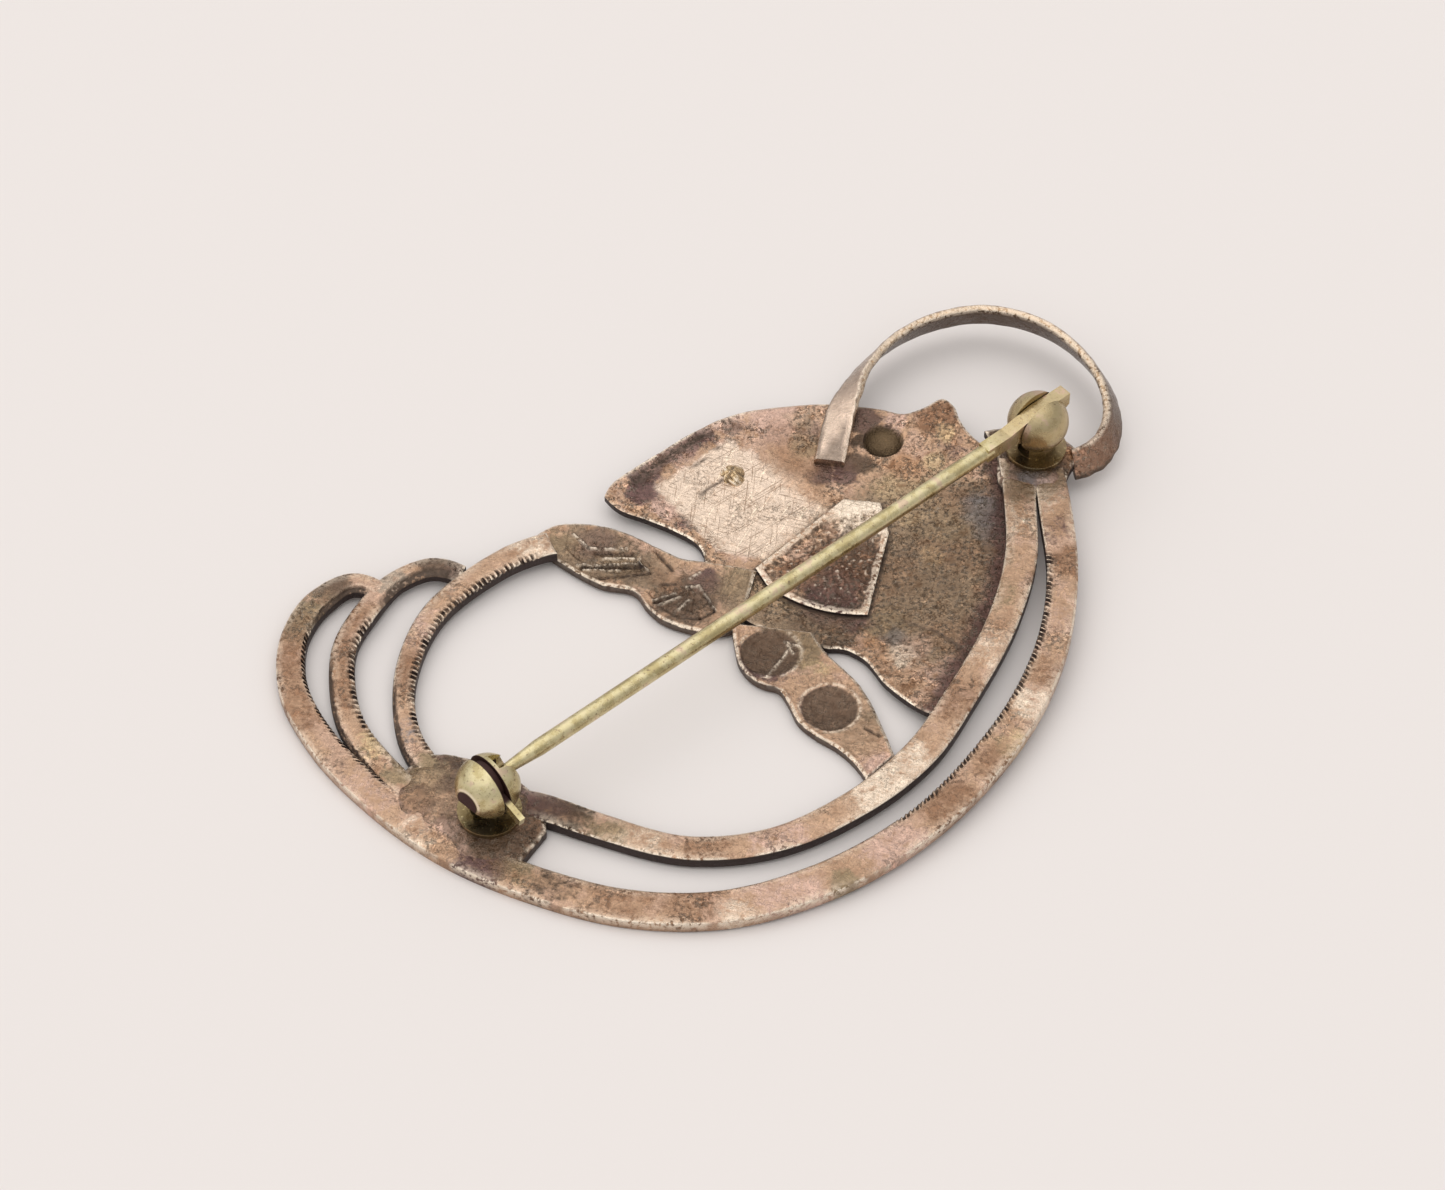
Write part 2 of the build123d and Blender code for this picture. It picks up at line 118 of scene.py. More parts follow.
# First ring's step in from an outline, and the even steps further in, as shares of the way to the heart
PLATE_RINGS = (0.005, 0.017)
PAD_RINGS = (0.012, 0.03)
TAG_RINGS = (0.015, 0.03)

# Widest seam that is closed, steepest angle that is shaded smooth, and more than any distance on the bench
SEAM = 0.0001
SMOOTH_ANGLE = 50
FAR = 99.0

# The camera of the photograph, aimed at the bench's origin
VIEW_ELEVATION = 50.0
VIEW_DISTANCE = 280.0
PIXELS_PER_MM = 15.2
IMAGE_WIDTH = 1445
SENSOR_WIDTH = 36.0
VIEW_REACH = (0.01, 10)

# Table and light: the sky is brightest overhead, a little behind and to the left, along the bench's axes
TABLE_SIZE = 2.4
FLOOR_COLOUR = (0.80, 0.75, 0.725, 1)
SKY_COLOUR = (1.0, 0.99, 0.98, 1)
SKY_BRIGHT = (-0.25, 0.10, 0.95)
SKY_EDGE = 0.15
SKY_RANGE = (0.60, 1.22)
# Lamps: name, place and size in metres, power, colour
LAMPS = [
    ("soft_light", (-0.15, 0.20, 0.93), 1.4, 1.3, (1.0, 0.99, 0.98)),
    ("glint_light", (-0.22, 0.42, 0.85), 0.28, 0.13, (1.0, 0.99, 0.97)),
]

# Strips and loops: place across, place along, width, as shares of LENGTH, BREADTH and the strip's width
OUTER_STRIP = [
    (0.391, 0.200, 0.85), (0.397, 0.123, 0.92), (0.400, 0.028, 0.86), (0.386, -0.076, 0.88),
    (0.352, -0.176, 0.96), (0.300, -0.269, 1.00), (0.221, -0.367, 1.00), (0.116, -0.445, 1.04),
    (0.000, -0.487, 1.04), (-0.107, -0.485, 1.02), (-0.205, -0.453, 1.00), (-0.304, -0.400, 0.96),
    (-0.389, -0.324, 0.92), (-0.455, -0.242, 0.83), (-0.496, -0.148, 0.79), (-0.496, -0.074, 0.76),
    (-0.470, -0.017, 0.78), (-0.432, 0.010, 0.64), (-0.400, -0.006, 0.64),
]
INNER_STRIP = [
    (0.354, 0.218, 1.05), (0.355, 0.142, 0.90), (0.353, 0.057, 0.90), (0.330, -0.042, 0.87),
    (0.275, -0.169, 0.90), (0.225, -0.259, 0.95), (0.143, -0.341, 0.88), (0.054, -0.391, 0.81),
    (-0.036, -0.402, 0.78), (-0.141, -0.368, 0.83), (-0.202, -0.341, 0.87), (-0.307, -0.309, 0.83),
    (-0.352, -0.246, 0.68), (-0.366, -0.180, 0.60), (-0.361, -0.110, 0.64), (-0.336, -0.038, 0.70),
    (-0.291, 0.017, 0.75), (-0.243, 0.056, 0.79), (-0.202, 0.074, 0.83),
]
MIDDLE_LOOP = [
    (-0.307, 0.023, 0.88), (-0.338, 0.036, 0.88), (-0.380, 0.017, 0.88), (-0.416, -0.036, 0.98),
    (-0.438, -0.095, 0.95), (-0.438, -0.152, 1.00), (-0.425, -0.212, 1.05), (-0.391, -0.271, 1.10),
    (-0.345, -0.326, 1.18),
]

# Outlines, as shares of LENGTH and BREADTH: each row is a smooth run from its first place, a corner, to the
# first place of the next row; the head plate starts at its left tip and goes clockwise
PLATE_RUNS = [
    [(-0.141, 0.154), (-0.134, 0.173), (-0.107, 0.202), (-0.071, 0.237), (-0.036, 0.268),
     (0.000, 0.292), (0.036, 0.307), (0.080, 0.316), (0.125, 0.320)],
    [(0.166, 0.316), (0.193, 0.311), (0.221, 0.303), (0.245, 0.311), (0.270, 0.324),
     (0.282, 0.311), (0.288, 0.290), (0.302, 0.263)],
    [(0.345, 0.227), (0.355, 0.114), (0.348, 0.019), (0.327, -0.057), (0.282, -0.152)],
    [(0.250, -0.205), (0.232, -0.193), (0.189, -0.146), (0.161, -0.098), (0.143, -0.085)],
    [(0.125, -0.083), (0.050, -0.052), (0.005, -0.015)],
    [(-0.020, 0.055), (-0.029, 0.085), (-0.054, 0.104), (-0.089, 0.121), (-0.125, 0.136)],
]
PLATE_HEART = (0.143, 0.095)

# Fins: their two edges from the free end to the head plate
LEFT_FIN_EDGES = [
    [(-0.223, 0.095), (-0.196, 0.116), (-0.170, 0.118), (-0.143, 0.114), (-0.107, 0.098),
     (-0.071, 0.074), (-0.045, 0.059), (-0.020, 0.055), (0.040, 0.040)],
    [(-0.212, 0.072), (-0.179, 0.042), (-0.143, 0.017), (-0.102, 0.004), (-0.089, -0.019),
     (-0.073, -0.038), (-0.045, -0.053), (-0.018, -0.061), (0.020, -0.052)],
]
RIGHT_FIN_EDGES = [
    [(0.163, -0.290), (0.146, -0.259), (0.130, -0.241), (0.107, -0.223), (0.087, -0.201),
     (0.075, -0.170), (0.064, -0.150), (0.048, -0.144), (0.034, -0.134), (0.020, -0.112),
     (0.014, -0.081), (0.011, -0.045)],
    [(0.196, -0.254), (0.189, -0.229), (0.180, -0.199), (0.171, -0.172), (0.157, -0.142),
     (0.139, -0.117), (0.123, -0.097), (0.105, -0.060)],
]
FIN_DISHES = [(0.055, -0.093, 2.0), (0.123, -0.180, 1.9)]

# Curl: place across, place along, height as a share of CURL_WIDTH, lean from standing on edge
CURL_RUN = [
    (0.129, 0.220, 0.13, 90), (0.138, 0.271, 0.22, 82), (0.150, 0.320, 0.31, 62), (0.166, 0.362, 0.36, 38),
    (0.202, 0.415, 0.39, 24), (0.250, 0.453, 0.39, 19), (0.323, 0.473, 0.39, 18), (0.395, 0.449, 0.39, 20),
    (0.446, 0.392, 0.39, 24), (0.471, 0.326, 0.39, 27), (0.471, 0.269, 0.36, 30), (0.453, 0.231, 0.31, 35),
    (0.422, 0.214, 0.27, 40),
]

# Pads and tag, as outlines of runs; the tag's last side is swept
CATCH_PAD = [
    [(-0.197, -0.377)],
    [(-0.226, -0.425), (-0.268, -0.436), (-0.330, -0.388), (-0.375, -0.331), (-0.352, -0.275)],
    [(-0.328, -0.260), (-0.286, -0.267), (-0.236, -0.295), (-0.207, -0.331)],
]
JOINT_PAD = [
    [(0.317, 0.265), (0.339, 0.271), (0.384, 0.269), (0.414, 0.250)],
    [(0.432, 0.222), (0.414, 0.189), (0.409, 0.163), (0.371, 0.155), (0.334, 0.170), (0.330, 0.227)],
]
TAG_RUNS = [
    [(0.170, -0.030)], [(0.198, 0.104)], [(0.189, 0.155)], [(0.145, 0.161)], [(0.039, 0.046)],
    [(0.052, 0.019), (0.112, -0.021)],
]
TAG_HEART = (0.135, 0.055)


def spot(share):
    """Bench place from shares of the plan size."""
    return Vector((share[0] * LENGTH, share[1] * BREADTH, 0))


# The bench, worked out from the pin's and the lever's axes in the frame
joints = {joint["name"]: joint for joint in frame["joints"]}
pin_line = (spot(JOINT_SHARES) - spot(CATCH_SHARES)).normalized()
pin_side = Vector((-pin_line.y, pin_line.x, 0))
line_world = Vector(joints["lever_turn"]["axis"])
side_world = Vector(joints["pin_swing"]["axis"])
from_bench = Matrix((pin_line, pin_side, Vector((0, 0, 1)))).transposed()
to_world = Matrix((line_world, side_world, line_world.cross(side_world))).transposed()
BENCH_TURN = to_world @ from_bench.inverted()
joint_ball = spot(JOINT_SHARES) + Vector((0, 0, BALL_LEVEL))
BENCH_ORIGIN = Vector(joints["pin_swing"]["pos_m"]) - BENCH_TURN @ joint_ball * MM
BENCH = Matrix.Translation(BENCH_ORIGIN) @ BENCH_TURN.to_4x4() @ Matrix.Scale(MM, 4)


def dish_top(x, y):
    """Height of the head plate's back over the bench, for numbers or arrays."""
    middle = spot(DISH_SHARES)
    out = (x - middle.x) ** 2 + (y - middle.y) ** 2
    return DISH_RADIUS - DISH_DEPTH - np.sqrt(DISH_RADIUS**2 - out)


# How much paler the metal is than its tone looks, and shares that darken and lighten a tone
POLISH = 1.10
DARKER = (0.46, 0.38, 0.32, 1)
LIGHTER = (1.55, 1.50, 1.46, 1)

# Tones, as they look in soft light, 0 to 255
TONES = {
    "pale": (228, 209, 188),
    "pink": (198, 166, 150),
    "tan": (182, 150, 124),
    "olive": (146, 126, 100),
    "brown": (140, 107, 84),
    "copper": (188, 146, 114),
    "gold": (200, 174, 136),
    "drab": (142, 121, 100),
    "dark": (82, 66, 54),
    "plum": (108, 84, 80),
    "slate": (112, 116, 124),
    "black": (54, 41, 38),
    "maroon": (58, 32, 28),
    "umber": (106, 87, 73),
    "smoke": (98, 82, 58),
    "bright": (240, 224, 204),
    "brass": (176, 161, 118),
    "straw": (208, 196, 156),
    "flesh": (164, 144, 110),
}

# Stains on each piece: tone, place on the bench, reach, strength
OUTER_STAINS = [
    ("umber", -25.4, -0.3, 1.9, 0.75), ("umber", -27.6, -3.2, 1.6, 0.4), ("olive", -27.3, -2.6, 2.4, 0.8),
    ("brown", -27.9, -6, 3.2, 0.6), ("brown", -27.2, -10, 3, 0.5), ("dark", -23.9, -14.9, 0.9, 0.3),
    ("pink", -22.6, -17, 2.6, 0.35), ("pale", -19.6, -20.4, 2, 0.3), ("plum", -15.2, -22.6, 2.2, 0.7),
    ("olive", -12.8, -22.8, 1.5, 0.6), ("dark", -10.4, -24, 2.2, 0.45), ("brown", -6, -24.7, 3, 0.45),
    ("brown", -2, -25.2, 2.6, 0.5), ("pale", 0.6, -26.2, 1.3, 0.45), ("pink", 4, -25, 3, 0.5),
    ("olive", 7.6, -23.9, 1.1, 0.8), ("pink", 11.1, -21.5, 2.6, 0.6), ("brown", 14.3, -17.9, 2.6, 0.6),
    ("brown", 17.4, -14.6, 2.2, 0.5), ("gold", 18.6, -12.9, 1.4, 0.5), ("pale", 19.8, -9.8, 1.8, 0.5),
    ("brown", 20.9, -7.2, 1.8, 0.45), ("pink", 22, -1.8, 2.2, 0.3), ("brown", 22.9, 2.2, 1.7, 0.6),
    ("plum", 22, 5, 1.6, 0.35), ("pale", 21.6, 7.6, 1.3, 0.3), ("drab", 21.2, 9.8, 2.6, 0.7),
]
INNER_STAINS = [
    ("plum", -12.2, -17.2, 2.8, 0.8), ("dark", -10, -18.8, 2.6, 0.7), ("olive", -7.4, -20.2, 1.8, 0.6),
    ("pale", -5, -21.2, 2, 0.35), ("brown", -1, -21.2, 2.2, 0.5), ("pink", 3.6, -20.5, 2.4, 0.5),
    ("tan", 6.9, -18.6, 2, 0.6), ("pale", 9.9, -16.4, 2.6, 0.6), ("pale", 11.9, -14.2, 1.8, 0.5),
    ("brown", 15.2, -9.5, 2.8, 0.5), ("pale", 17.3, -5, 2.4, 0.3), ("olive", 18.2, -0.6, 1.6, 0.4),
    ("drab", 18.2, 2.4, 1.6, 0.4), ("pale", 19.2, 5.6, 1.8, 0.35), ("drab", 20, 9.6, 3, 0.7),
    ("olive", -17.8, -14.8, 2, 0.7), ("slate", -20, -11.8, 1.8, 0.25), ("brown", -20.4, -7, 2.6, 0.6),
    ("pink", -19.9, -3.6, 2, 0.4), ("tan", -17, 1.2, 2, 0.5), ("pale", -12.4, 3.6, 1.8, 0.4),
]
LOOP_STAINS = [
    ("umber", -18.6, 1.6, 1.9, 0.8), ("umber", -22, 0.6, 1.4, 0.7), ("brown", -23.6, -2.4, 1.6, 0.5),
    ("brown", -24.5, -4.5, 3, 0.6), ("brown", -24.2, -8.5, 2.6, 0.5), ("gold", -21.8, -12.7, 1.8, 0.6),
    ("olive", -20.2, -15.4, 1.6, 0.7), ("pale", -21.6, 0.2, 1.2, 0.5), ("plum", -17.4, 1, 1.2, 0.6),
]
PLATE_STAINS = [
    ("umber", 4.6, 12, 1.7, 0.7), ("umber", 6.4, 11, 1.3, 0.8), ("umber", 8.9, 12, 1.1, 0.9),
    ("umber", 9.7, 15.3, 1.3, 1), ("umber", 6, 14.6, 1.1, 0.8), ("brown", 14.6, 15.4, 1.7, 0.8),
    ("plum", -5.6, 8.6, 1.3, 0.8), ("pink", -3.8, 7.4, 1.3, 0.8), ("plum", -2.2, 6.4, 1, 0.6),
    ("plum", -5.5, 9.6, 1.1, 0.9), ("plum", -4.7, 10.8, 1, 0.9), ("plum", -3.7, 12, 1, 0.9),
    ("plum", -2.5, 13.1, 1, 0.9), ("plum", -1.4, 14, 0.8, 0.8), ("brown", 11.5, 2, 1.8, 0.7),
    ("umber", 13.2, 5.6, 1.2, 0.8), ("umber", 12, 4, 0.9, 0.8), ("gold", 13.9, 3.6, 0.8, 0.6),
    ("gold", 12.4, 6.8, 0.8, 0.6), ("umber", 14.4, 1.4, 1.2, 0.8), ("brown", 16, 3.4, 1.6, 0.6),
    ("umber", 5.6, -2, 1.6, 0.8), ("umber", 7.6, -3.2, 1.6, 0.7), ("drab", 13.5, 5, 7, 1),
    ("drab", 14, -2, 5, 0.95), ("drab", 5, -1, 4, 0.9), ("olive", 4, 1.5, 2.6, 0.6),
    ("olive", 1.4, 0.6, 2, 0.5), ("pink", 4, 15.4, 3, 0.7), ("pink", -4, 12.6, 2.2, 0.6),
    ("pink", 0, 15.6, 2.2, 0.6), ("plum", -5.6, 9.4, 1.1, 0.6), ("pink", 1.2, 4.6, 1.8, 0.5),
    ("copper", 5.2, 9, 1.4, 0.5), ("plum", -4.8, 8.7, 0.9, 0.6), ("plum", -1.2, 13.5, 0.8, 0.5),
    ("brown", 4.4, 13.6, 2, 0.6), ("copper", 4.6, 11.6, 1.8, 0.6), ("brown", 3, 11.4, 0.8, 0.6),
    ("dark", 0.5, 14.8, 0.75, 0.9), ("olive", 5.5, 13.2, 1.1, 0.9), ("olive", 5.5, 15.6, 1.1, 0.8),
    ("plum", 6.8, 10.9, 1.1, 0.8), ("plum", 8.4, 10.9, 1.1, 0.8), ("plum", 9.7, 15.4, 1.1, 0.95),
    ("dark", 9.6, 13.6, 0.9, 0.9), ("dark", 9.5, 11.6, 0.8, 0.7), ("pink", 11.8, 15.6, 1, 0.6),
    ("brown", 14.2, 16.1, 1.3, 0.7), ("plum", 15.4, 12.6, 1.4, 0.5), ("gold", 15.2, 14, 0.9, 0.9),
    ("gold", 14.3, 11.8, 1.1, 0.7), ("copper", 12.4, 11.4, 1.4, 0.8), ("gold", 11.2, 9.6, 1.2, 0.6),
    ("gold", 13.4, 9.4, 1.2, 0.5), ("olive", 14, 6.5, 2.2, 0.6), ("brown", 15.4, 8.4, 1.4, 0.6),
    ("dark", 16.8, 8.9, 1, 0.6), ("brown", 14, 4, 1.2, 0.5), ("slate", 17.4, 7.4, 1.5, 0.9),
    ("slate", 17.8, 5.6, 1.1, 0.6), ("plum", 6.6, -1.2, 1.3, 0.8), ("plum", 8.6, -1.9, 1.5, 0.9),
    ("olive", 10.6, -2.2, 1.5, 0.9), ("copper", 9.9, -4, 1, 0.7), ("slate", 11.2, -3.4, 0.9, 0.6),
    ("pink", 12.4, -4.6, 1.2, 0.6), ("pale", 11.6, -5.2, 1.1, 0.9), ("copper", 10.6, -5.2, 0.7, 0.7),
    ("pink", 14.4, -7, 1.5, 0.6), ("brown", 14.6, -3.6, 1.8, 0.5), ("dark", 6.9, -4, 0.7, 0.8),
]
LEFT_FIN_STAINS = [
    ("drab", 1.2, 0, 2.4, 0.9), ("drab", -9, 3.6, 3, 1), ("umber", -7.2, 3, 2.4, 0.7),
    ("umber", -2.6, -0.4, 2.6, 0.85), ("drab", -5, 2, 2.2, 0.9), ("umber", -5.4, 1.8, 1.2, 0.6),
    ("plum", -8.6, 4.6, 1.4, 0.7), ("olive", -6.8, 2.6, 1.4, 0.5), ("olive", -10.8, 4.4, 1.1, 0.9),
    ("tan", -3, 3.2, 1.6, 0.7), ("umber", -1.6, 0.4, 1.6, 0.8), ("dark", -2.8, -0.4, 0.7, 0.8),
    ("dark", -2, -0.9, 0.5, 0.8), ("plum", -1, 1.4, 1.2, 0.8), ("olive", 1.4, 1.4, 1.8, 0.7),
    ("brown", -3.6, 1.2, 1, 0.6), ("tan", -0.4, -2.2, 1.4, 0.6),
]
RIGHT_FIN_STAINS = [
    ("drab", 4.8, -3.2, 2.4, 1), ("olive", 5.6, -4.4, 1.4, 0.8), ("drab", 8.6, -10.6, 2.6, 0.7),
    ("plum", 2.9, -5.3, 2.1, 0.95), ("dark", 2.2, -4.8, 1.2, 0.6), ("olive", 5.2, -5.2, 1.6, 0.8),
    ("plum", 6.8, -9.4, 1.9, 0.95), ("dark", 7, -9.8, 1.2, 0.7), ("tan", 8.8, -8.4, 1.6, 0.8),
    ("tan", 8.8, -12, 1.6, 0.9), ("pink", 9.8, -14.4, 1.4, 0.7), ("gold", 6.2, -6.4, 1, 0.4),
]

# The plate's scraped patch, clockwise
SCRAPED = [(-4.6, 9.2), (0.4, 13.8), (2.4, 12.4), (7.0, 7.8), (3.0, 3.2), (-0.4, 4.0)]

# The umber stains just below the catch's ball and the joint's ball are the pads' dark patina together with
# painted shade under the balls
PAD_STAINS = [
    ("umber", -13.7, -19.8, 2.8, 1), ("umber", 21.4, 10.6, 2.6, 0.9), ("tan", -18.2, -17.6, 2.4, 0.45),
    ("olive", -18.9, -15.6, 1.8, 0.7), ("pink", -18.3, -20.4, 1.2, 0.7), ("pink", -16.4, -22.3, 1, 0.7),
    ("tan", -11.7, -21.6, 0.7, 0.9), ("brown", -19.4, -17.8, 1.2, 0.6), ("brown", -12, -19.4, 0.9, 0.5),
    ("slate", 20.8, 8.9, 1.4, 0.7), ("pink", 22.2, 9, 1, 0.7), ("copper", 23.8, 11.4, 1.2, 0.8),
]

TAG_STAINS = [
    ("pale", 9.6, 6.9, 2.2, 1), ("brown", 8.2, 2.6, 3, 1), ("maroon", 7.6, 1.6, 3.6, 0.55),
    ("plum", 7.2, 0.4, 2.4, 0.9), ("brown", 5, 2, 1.6, 0.9), ("umber", 9, 4.4, 1.6, 0.8),
]

# How far the slopes of a cut or ridge reach, as a share of its width
LINE_REACH = 0.8

# Straight cuts and ridges: from, to, width, and height, which is negative where the line is cut in
PLATE_LINES = [
    (-5.7, 9.7, -3.9, 11.9, 0.5, -0.2), (-3.9, 11.9, -1.1, 14.3, 0.45, -0.17),
    (-6.4, 10.3, -3, 14, 0.5, 0.08), (-3, 14, 2, 16.4, 0.5, 0.07), (12, -2.1, 13.9, -3, 0.12, -0.08),
    (13.9, -3, 15.5, -4.5, 0.12, -0.08), (-3.4, 9.7, 0.2, 13.4, 0.07, -0.05),
    (-1.5, 8.8, 0, 10.2, 0.07, -0.05),
]
LEFT_FIN_LINES = [
    (-9.9, 5.2, -8.9, 4.1, 0.13, 0.09), (-8.9, 4.1, -6.4, 4, 0.13, 0.09),
    (-7.9, 3.2, -5.5, 3.2, 0.12, 0.08), (-9.6, 2.5, -5.5, 2.8, 0.11, 0.1), (-5.5, 2.8, -4.9, 2.1, 0.1, 0.1),
    (-9.2, 2.1, -6.8, 2.2, 0.1, 0.08), (-9.3, 2.25, -5.4, 2.5, 0.12, -0.14),
    (-8.4, 3.7, -6, 3.6, 0.12, -0.1), (-8.1, 1.4, -4.8, 1.9, 0.13, -0.12), (-4.6, 4, -3.3, 2.1, 0.13, -0.1),
    (-4.6, -0.5, -3.1, 0.2, 0.1, 0.08), (-4.4, -0.9, -2.8, -0.1, 0.1, 0.08), (-4.5, -0.7, -3, 0, 0.1, -0.1),
    (-2.4, 0.6, -1.5, 0.7, 0.1, 0.09), (-1.5, 0.6, -0.5, -1.3, 0.11, 0.11),
    (-0.5, -1.4, -1.5, -2, 0.12, -0.12), (-1.5, -2, -2.8, -1.9, 0.12, -0.1),
    (-4, 0.9, -3.1, 0.9, 0.12, -0.08), (-2.1, 1.4, -1.5, 1.9, 0.12, 0.06),
    (-2.9, -1.2, -2.2, -0.4, 0.1, 0.07),
]
RIGHT_FIN_LINES = [
    (4.4, -4.4, 2.8, -7, 0.12, 0.07), (4.1, -3.9, 5, -4.4, 0.1, 0.06),
    (9.2, -11.2, 10.1, -11.8, 0.12, -0.1), (4.1, -3.9, 4.6, -4.9, 0.1, 0.05),
]

# Sunk leaves of the left fin: middle, half length, half width, turn in degrees, depth
LEAVES = [(-7.5, 3.2, 3.2, 1.35, -17, 0.16), (-2.7, -0.6, 2.5, 1.35, -22, 0.14)]


# Making and placing pieces


def pick(piece):
    """Makes this piece, and nothing else, the selection."""
    bpy.ops.object.select_all(action="DESELECT")
    piece.select_set(True)
    bpy.context.view_layer.objects.active = piece


def started(name):
    """Names the primitive that was just added and hands it on."""
    piece = bpy.context.object
    piece.name = name
    piece.data.name = name
    return piece


def open_all():
    """Opens the piece for editing, with all of it selected."""
    bpy.ops.object.mode_set(mode="EDIT")
    bpy.ops.mesh.select_all(action="SELECT")


def close_up():
    """Turns every face outwards and ends the editing."""
    bpy.ops.mesh.select_all(action="SELECT")
    bpy.ops.mesh.normals_make_consistent(inside=False)
    bpy.ops.object.mode_set(mode="OBJECT")


def carried(piece, finish):
    """Gives a silver piece its finish and carries it from the bench to its place in the frame."""
    pick(piece)
    piece.data.materials.append(finish)
    piece.matrix_world = BENCH @ piece.matrix_world
    bpy.ops.object.transform_apply(location=True, rotation=True, scale=True)
    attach(piece, "brooch")
    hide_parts("silver_fish")


def run_along(line):
    """How far along a line each of its places is."""
    return np.concatenate([[0], np.cumsum(np.linalg.norm(np.diff(line, axis=0), axis=1))])


def smooth_line(places, count):
    """Evenly spaced places along a smooth line through the given ones, and the line's length."""
    knots = np.array([tuple(place) for place in places], float)
    chord = np.linalg.norm(np.diff(knots, axis=0), axis=1)
    slopes = np.diff(knots, axis=0) / chord[:, None]
    ends = slopes[[0, 0]]
    if len(knots) > 2:
        weight = (chord[:-1] / (chord[:-1] + chord[1:]))[:, None]
        inner = slopes[:-1] * (1 - weight) + slopes[1:] * weight
        ends = np.vstack([2 * slopes[0] - inner[0], inner, 2 * slopes[-1] - inner[-1]])
    step = np.linspace(0, 1, SPAN_STEPS + 1)[:-1, None]
    spans = []
    for i, span in enumerate(chord):
        start_pull = (step**3 - 2 * step**2 + step) * span * ends[i]
        end_pull = (step**3 - step**2) * span * ends[i + 1]
        blend = 3 * step**2 - 2 * step**3
        spans.append((1 - blend) * knots[i] + blend * knots[i + 1] + start_pull + end_pull)
    line = np.vstack(spans + [knots[-1:]])
    run = run_along(line)
    even = np.linspace(0, run[-1], count)
    return np.stack([np.interp(even, run, line[:, k]) for k in range(line.shape[1])], 1), run[-1]


def closed_line(runs, count):
    """Evenly spaced places round an outline made of smooth runs that meet at corners."""
    runs = [[spot(share) for share in run + after[:1]] for run, after in zip(runs, runs[1:] + runs[:1])]
    lengths = [smooth_line(run, 2)[1] for run in runs]
    counts = [max(2, int(count * length / sum(lengths))) for length in lengths]
    return np.vstack([smooth_line(run, number + 1)[0][:-1] for run, number in zip(runs, counts)])


def edge_lines(rows, width):
    """Left and right edge places of a strip that follows the rows."""
    run = [spot(row) for row in rows]
    left, right = [], []
    for i, place in enumerate(run):
        along = (run[min(i + 1, len(run) - 1)] - run[max(i - 1, 0)]).normalized()
        side = Vector((-along.y, along.x, 0)) * rows[i][2] * width / 2
        left.append(place + side)
        right.append(place - side)
    return left, right


# Marks on the metal, for arrays of places on the bench


def ease(value, low, high):
    """Smooth step from 0 at low to 1 at high."""
    share = np.clip((value - low) / (high - low), 0, 1)
    return share * share * (3 - 2 * share)


def bell(value, middle, reach):
    """1 at the middle, falling softly to 0 on both sides."""
    return np.exp(-(((value - middle) / reach) ** 2))


def ripple(x, y, size, seed):
    """Soft noise of a given size over the bench, about -1 to 1."""
    return np.array([noise.noise((a / size, b / size, seed)) for a, b in zip(x, y)])


def seen(tone):
    """Scene colour of a named tone, a little paler so that it shows as the tone in the soft light."""
    share = np.array(TONES[tone]) / 255
    return POLISH * np.where(share <= 0.04045, share / 12.92, ((share + 0.055) / 1.055) ** 2.4)


def covered(colour, tone, share):
    """Colours with a tone laid over them by a share."""
    return colour * (1 - share)[:, None] + tone * share[:, None]


def stained(x, y, stains, seed):
    """Colour of the stains at each place, and how strong they are there; their edges wander."""
    wander_x = x + 0.55 * ripple(x, y, 1.4, seed) + 0.22 * ripple(x, y, 0.5, seed + 1)
    wander_y = y + 0.55 * ripple(x, y, 1.4, seed + 2) + 0.22 * ripple(x, y, 0.5, seed + 3)
    colour = np.tile(seen("tan"), (len(x), 1))
    cover = np.zeros(len(x))
    for tone, across, along, reach, strength in stains:
        out = np.hypot(wander_x - across, wander_y - along) / reach
        share = strength * ease(out, 1.25, 0.45)
        over = np.where(cover > 0, share / np.maximum(cover + share, 1e-6), 1.0) * (share > 0)
        colour = covered(colour, seen(tone), over)
        cover = np.maximum(cover, share)
    return colour, cover


def far_from(x, y, line):
    """Distance of each place from a line through the given points."""
    nearest = np.full(len(x), FAR)
    for start, end in zip(line[:-1], line[1:]):
        reach_x, reach_y = end[0] - start[0], end[1] - start[1]
        share = ((x - start[0]) * reach_x + (y - start[1]) * reach_y) / (reach_x**2 + reach_y**2)
        share = np.clip(share, 0, 1)
        out = np.hypot(x - start[0] - share * reach_x, y - start[1] - share * reach_y)
        nearest = np.minimum(nearest, out)
    return nearest


def line_relief(x, y, lines):
    """Height of cuts and ridges, with how deep in a cut and how high on a ridge each place is."""
    height, cut, ridge = np.zeros((3, len(x)))
    for ax, ay, bx, by, width, rise in lines:
        near = bell(far_from(x, y, [(ax, ay), (bx, by)]), 0, LINE_REACH * width)
        height += rise * near
        deeper = cut if rise < 0 else ridge
        np.maximum(deeper, near, out=deeper)
    return height, cut, ridge


def rounded_rim(rim, top, depth=0.09, reach=0.26):
    """Worn fall of the top towards a sheet's rim."""
    return -depth * np.clip(1 - rim / reach, 0, 1) ** 2 * top


def flat(height):
    """Ground at one height over the bench."""
    return lambda x, y: np.full(len(x), float(height))


# Meshes


def write_values(mesh, name, values):
    """Keeps one number for each vertex under a name that the finishes read."""
    held = mesh.attributes.new(name, "FLOAT", "POINT")
    held.data.foreach_set("value", np.asarray(values, np.float32))


def read_values(mesh, name):
    values = np.zeros(len(mesh.vertices), np.float32)
    mesh.attributes[name].data.foreach_get("value", values)
    return values.astype(float)


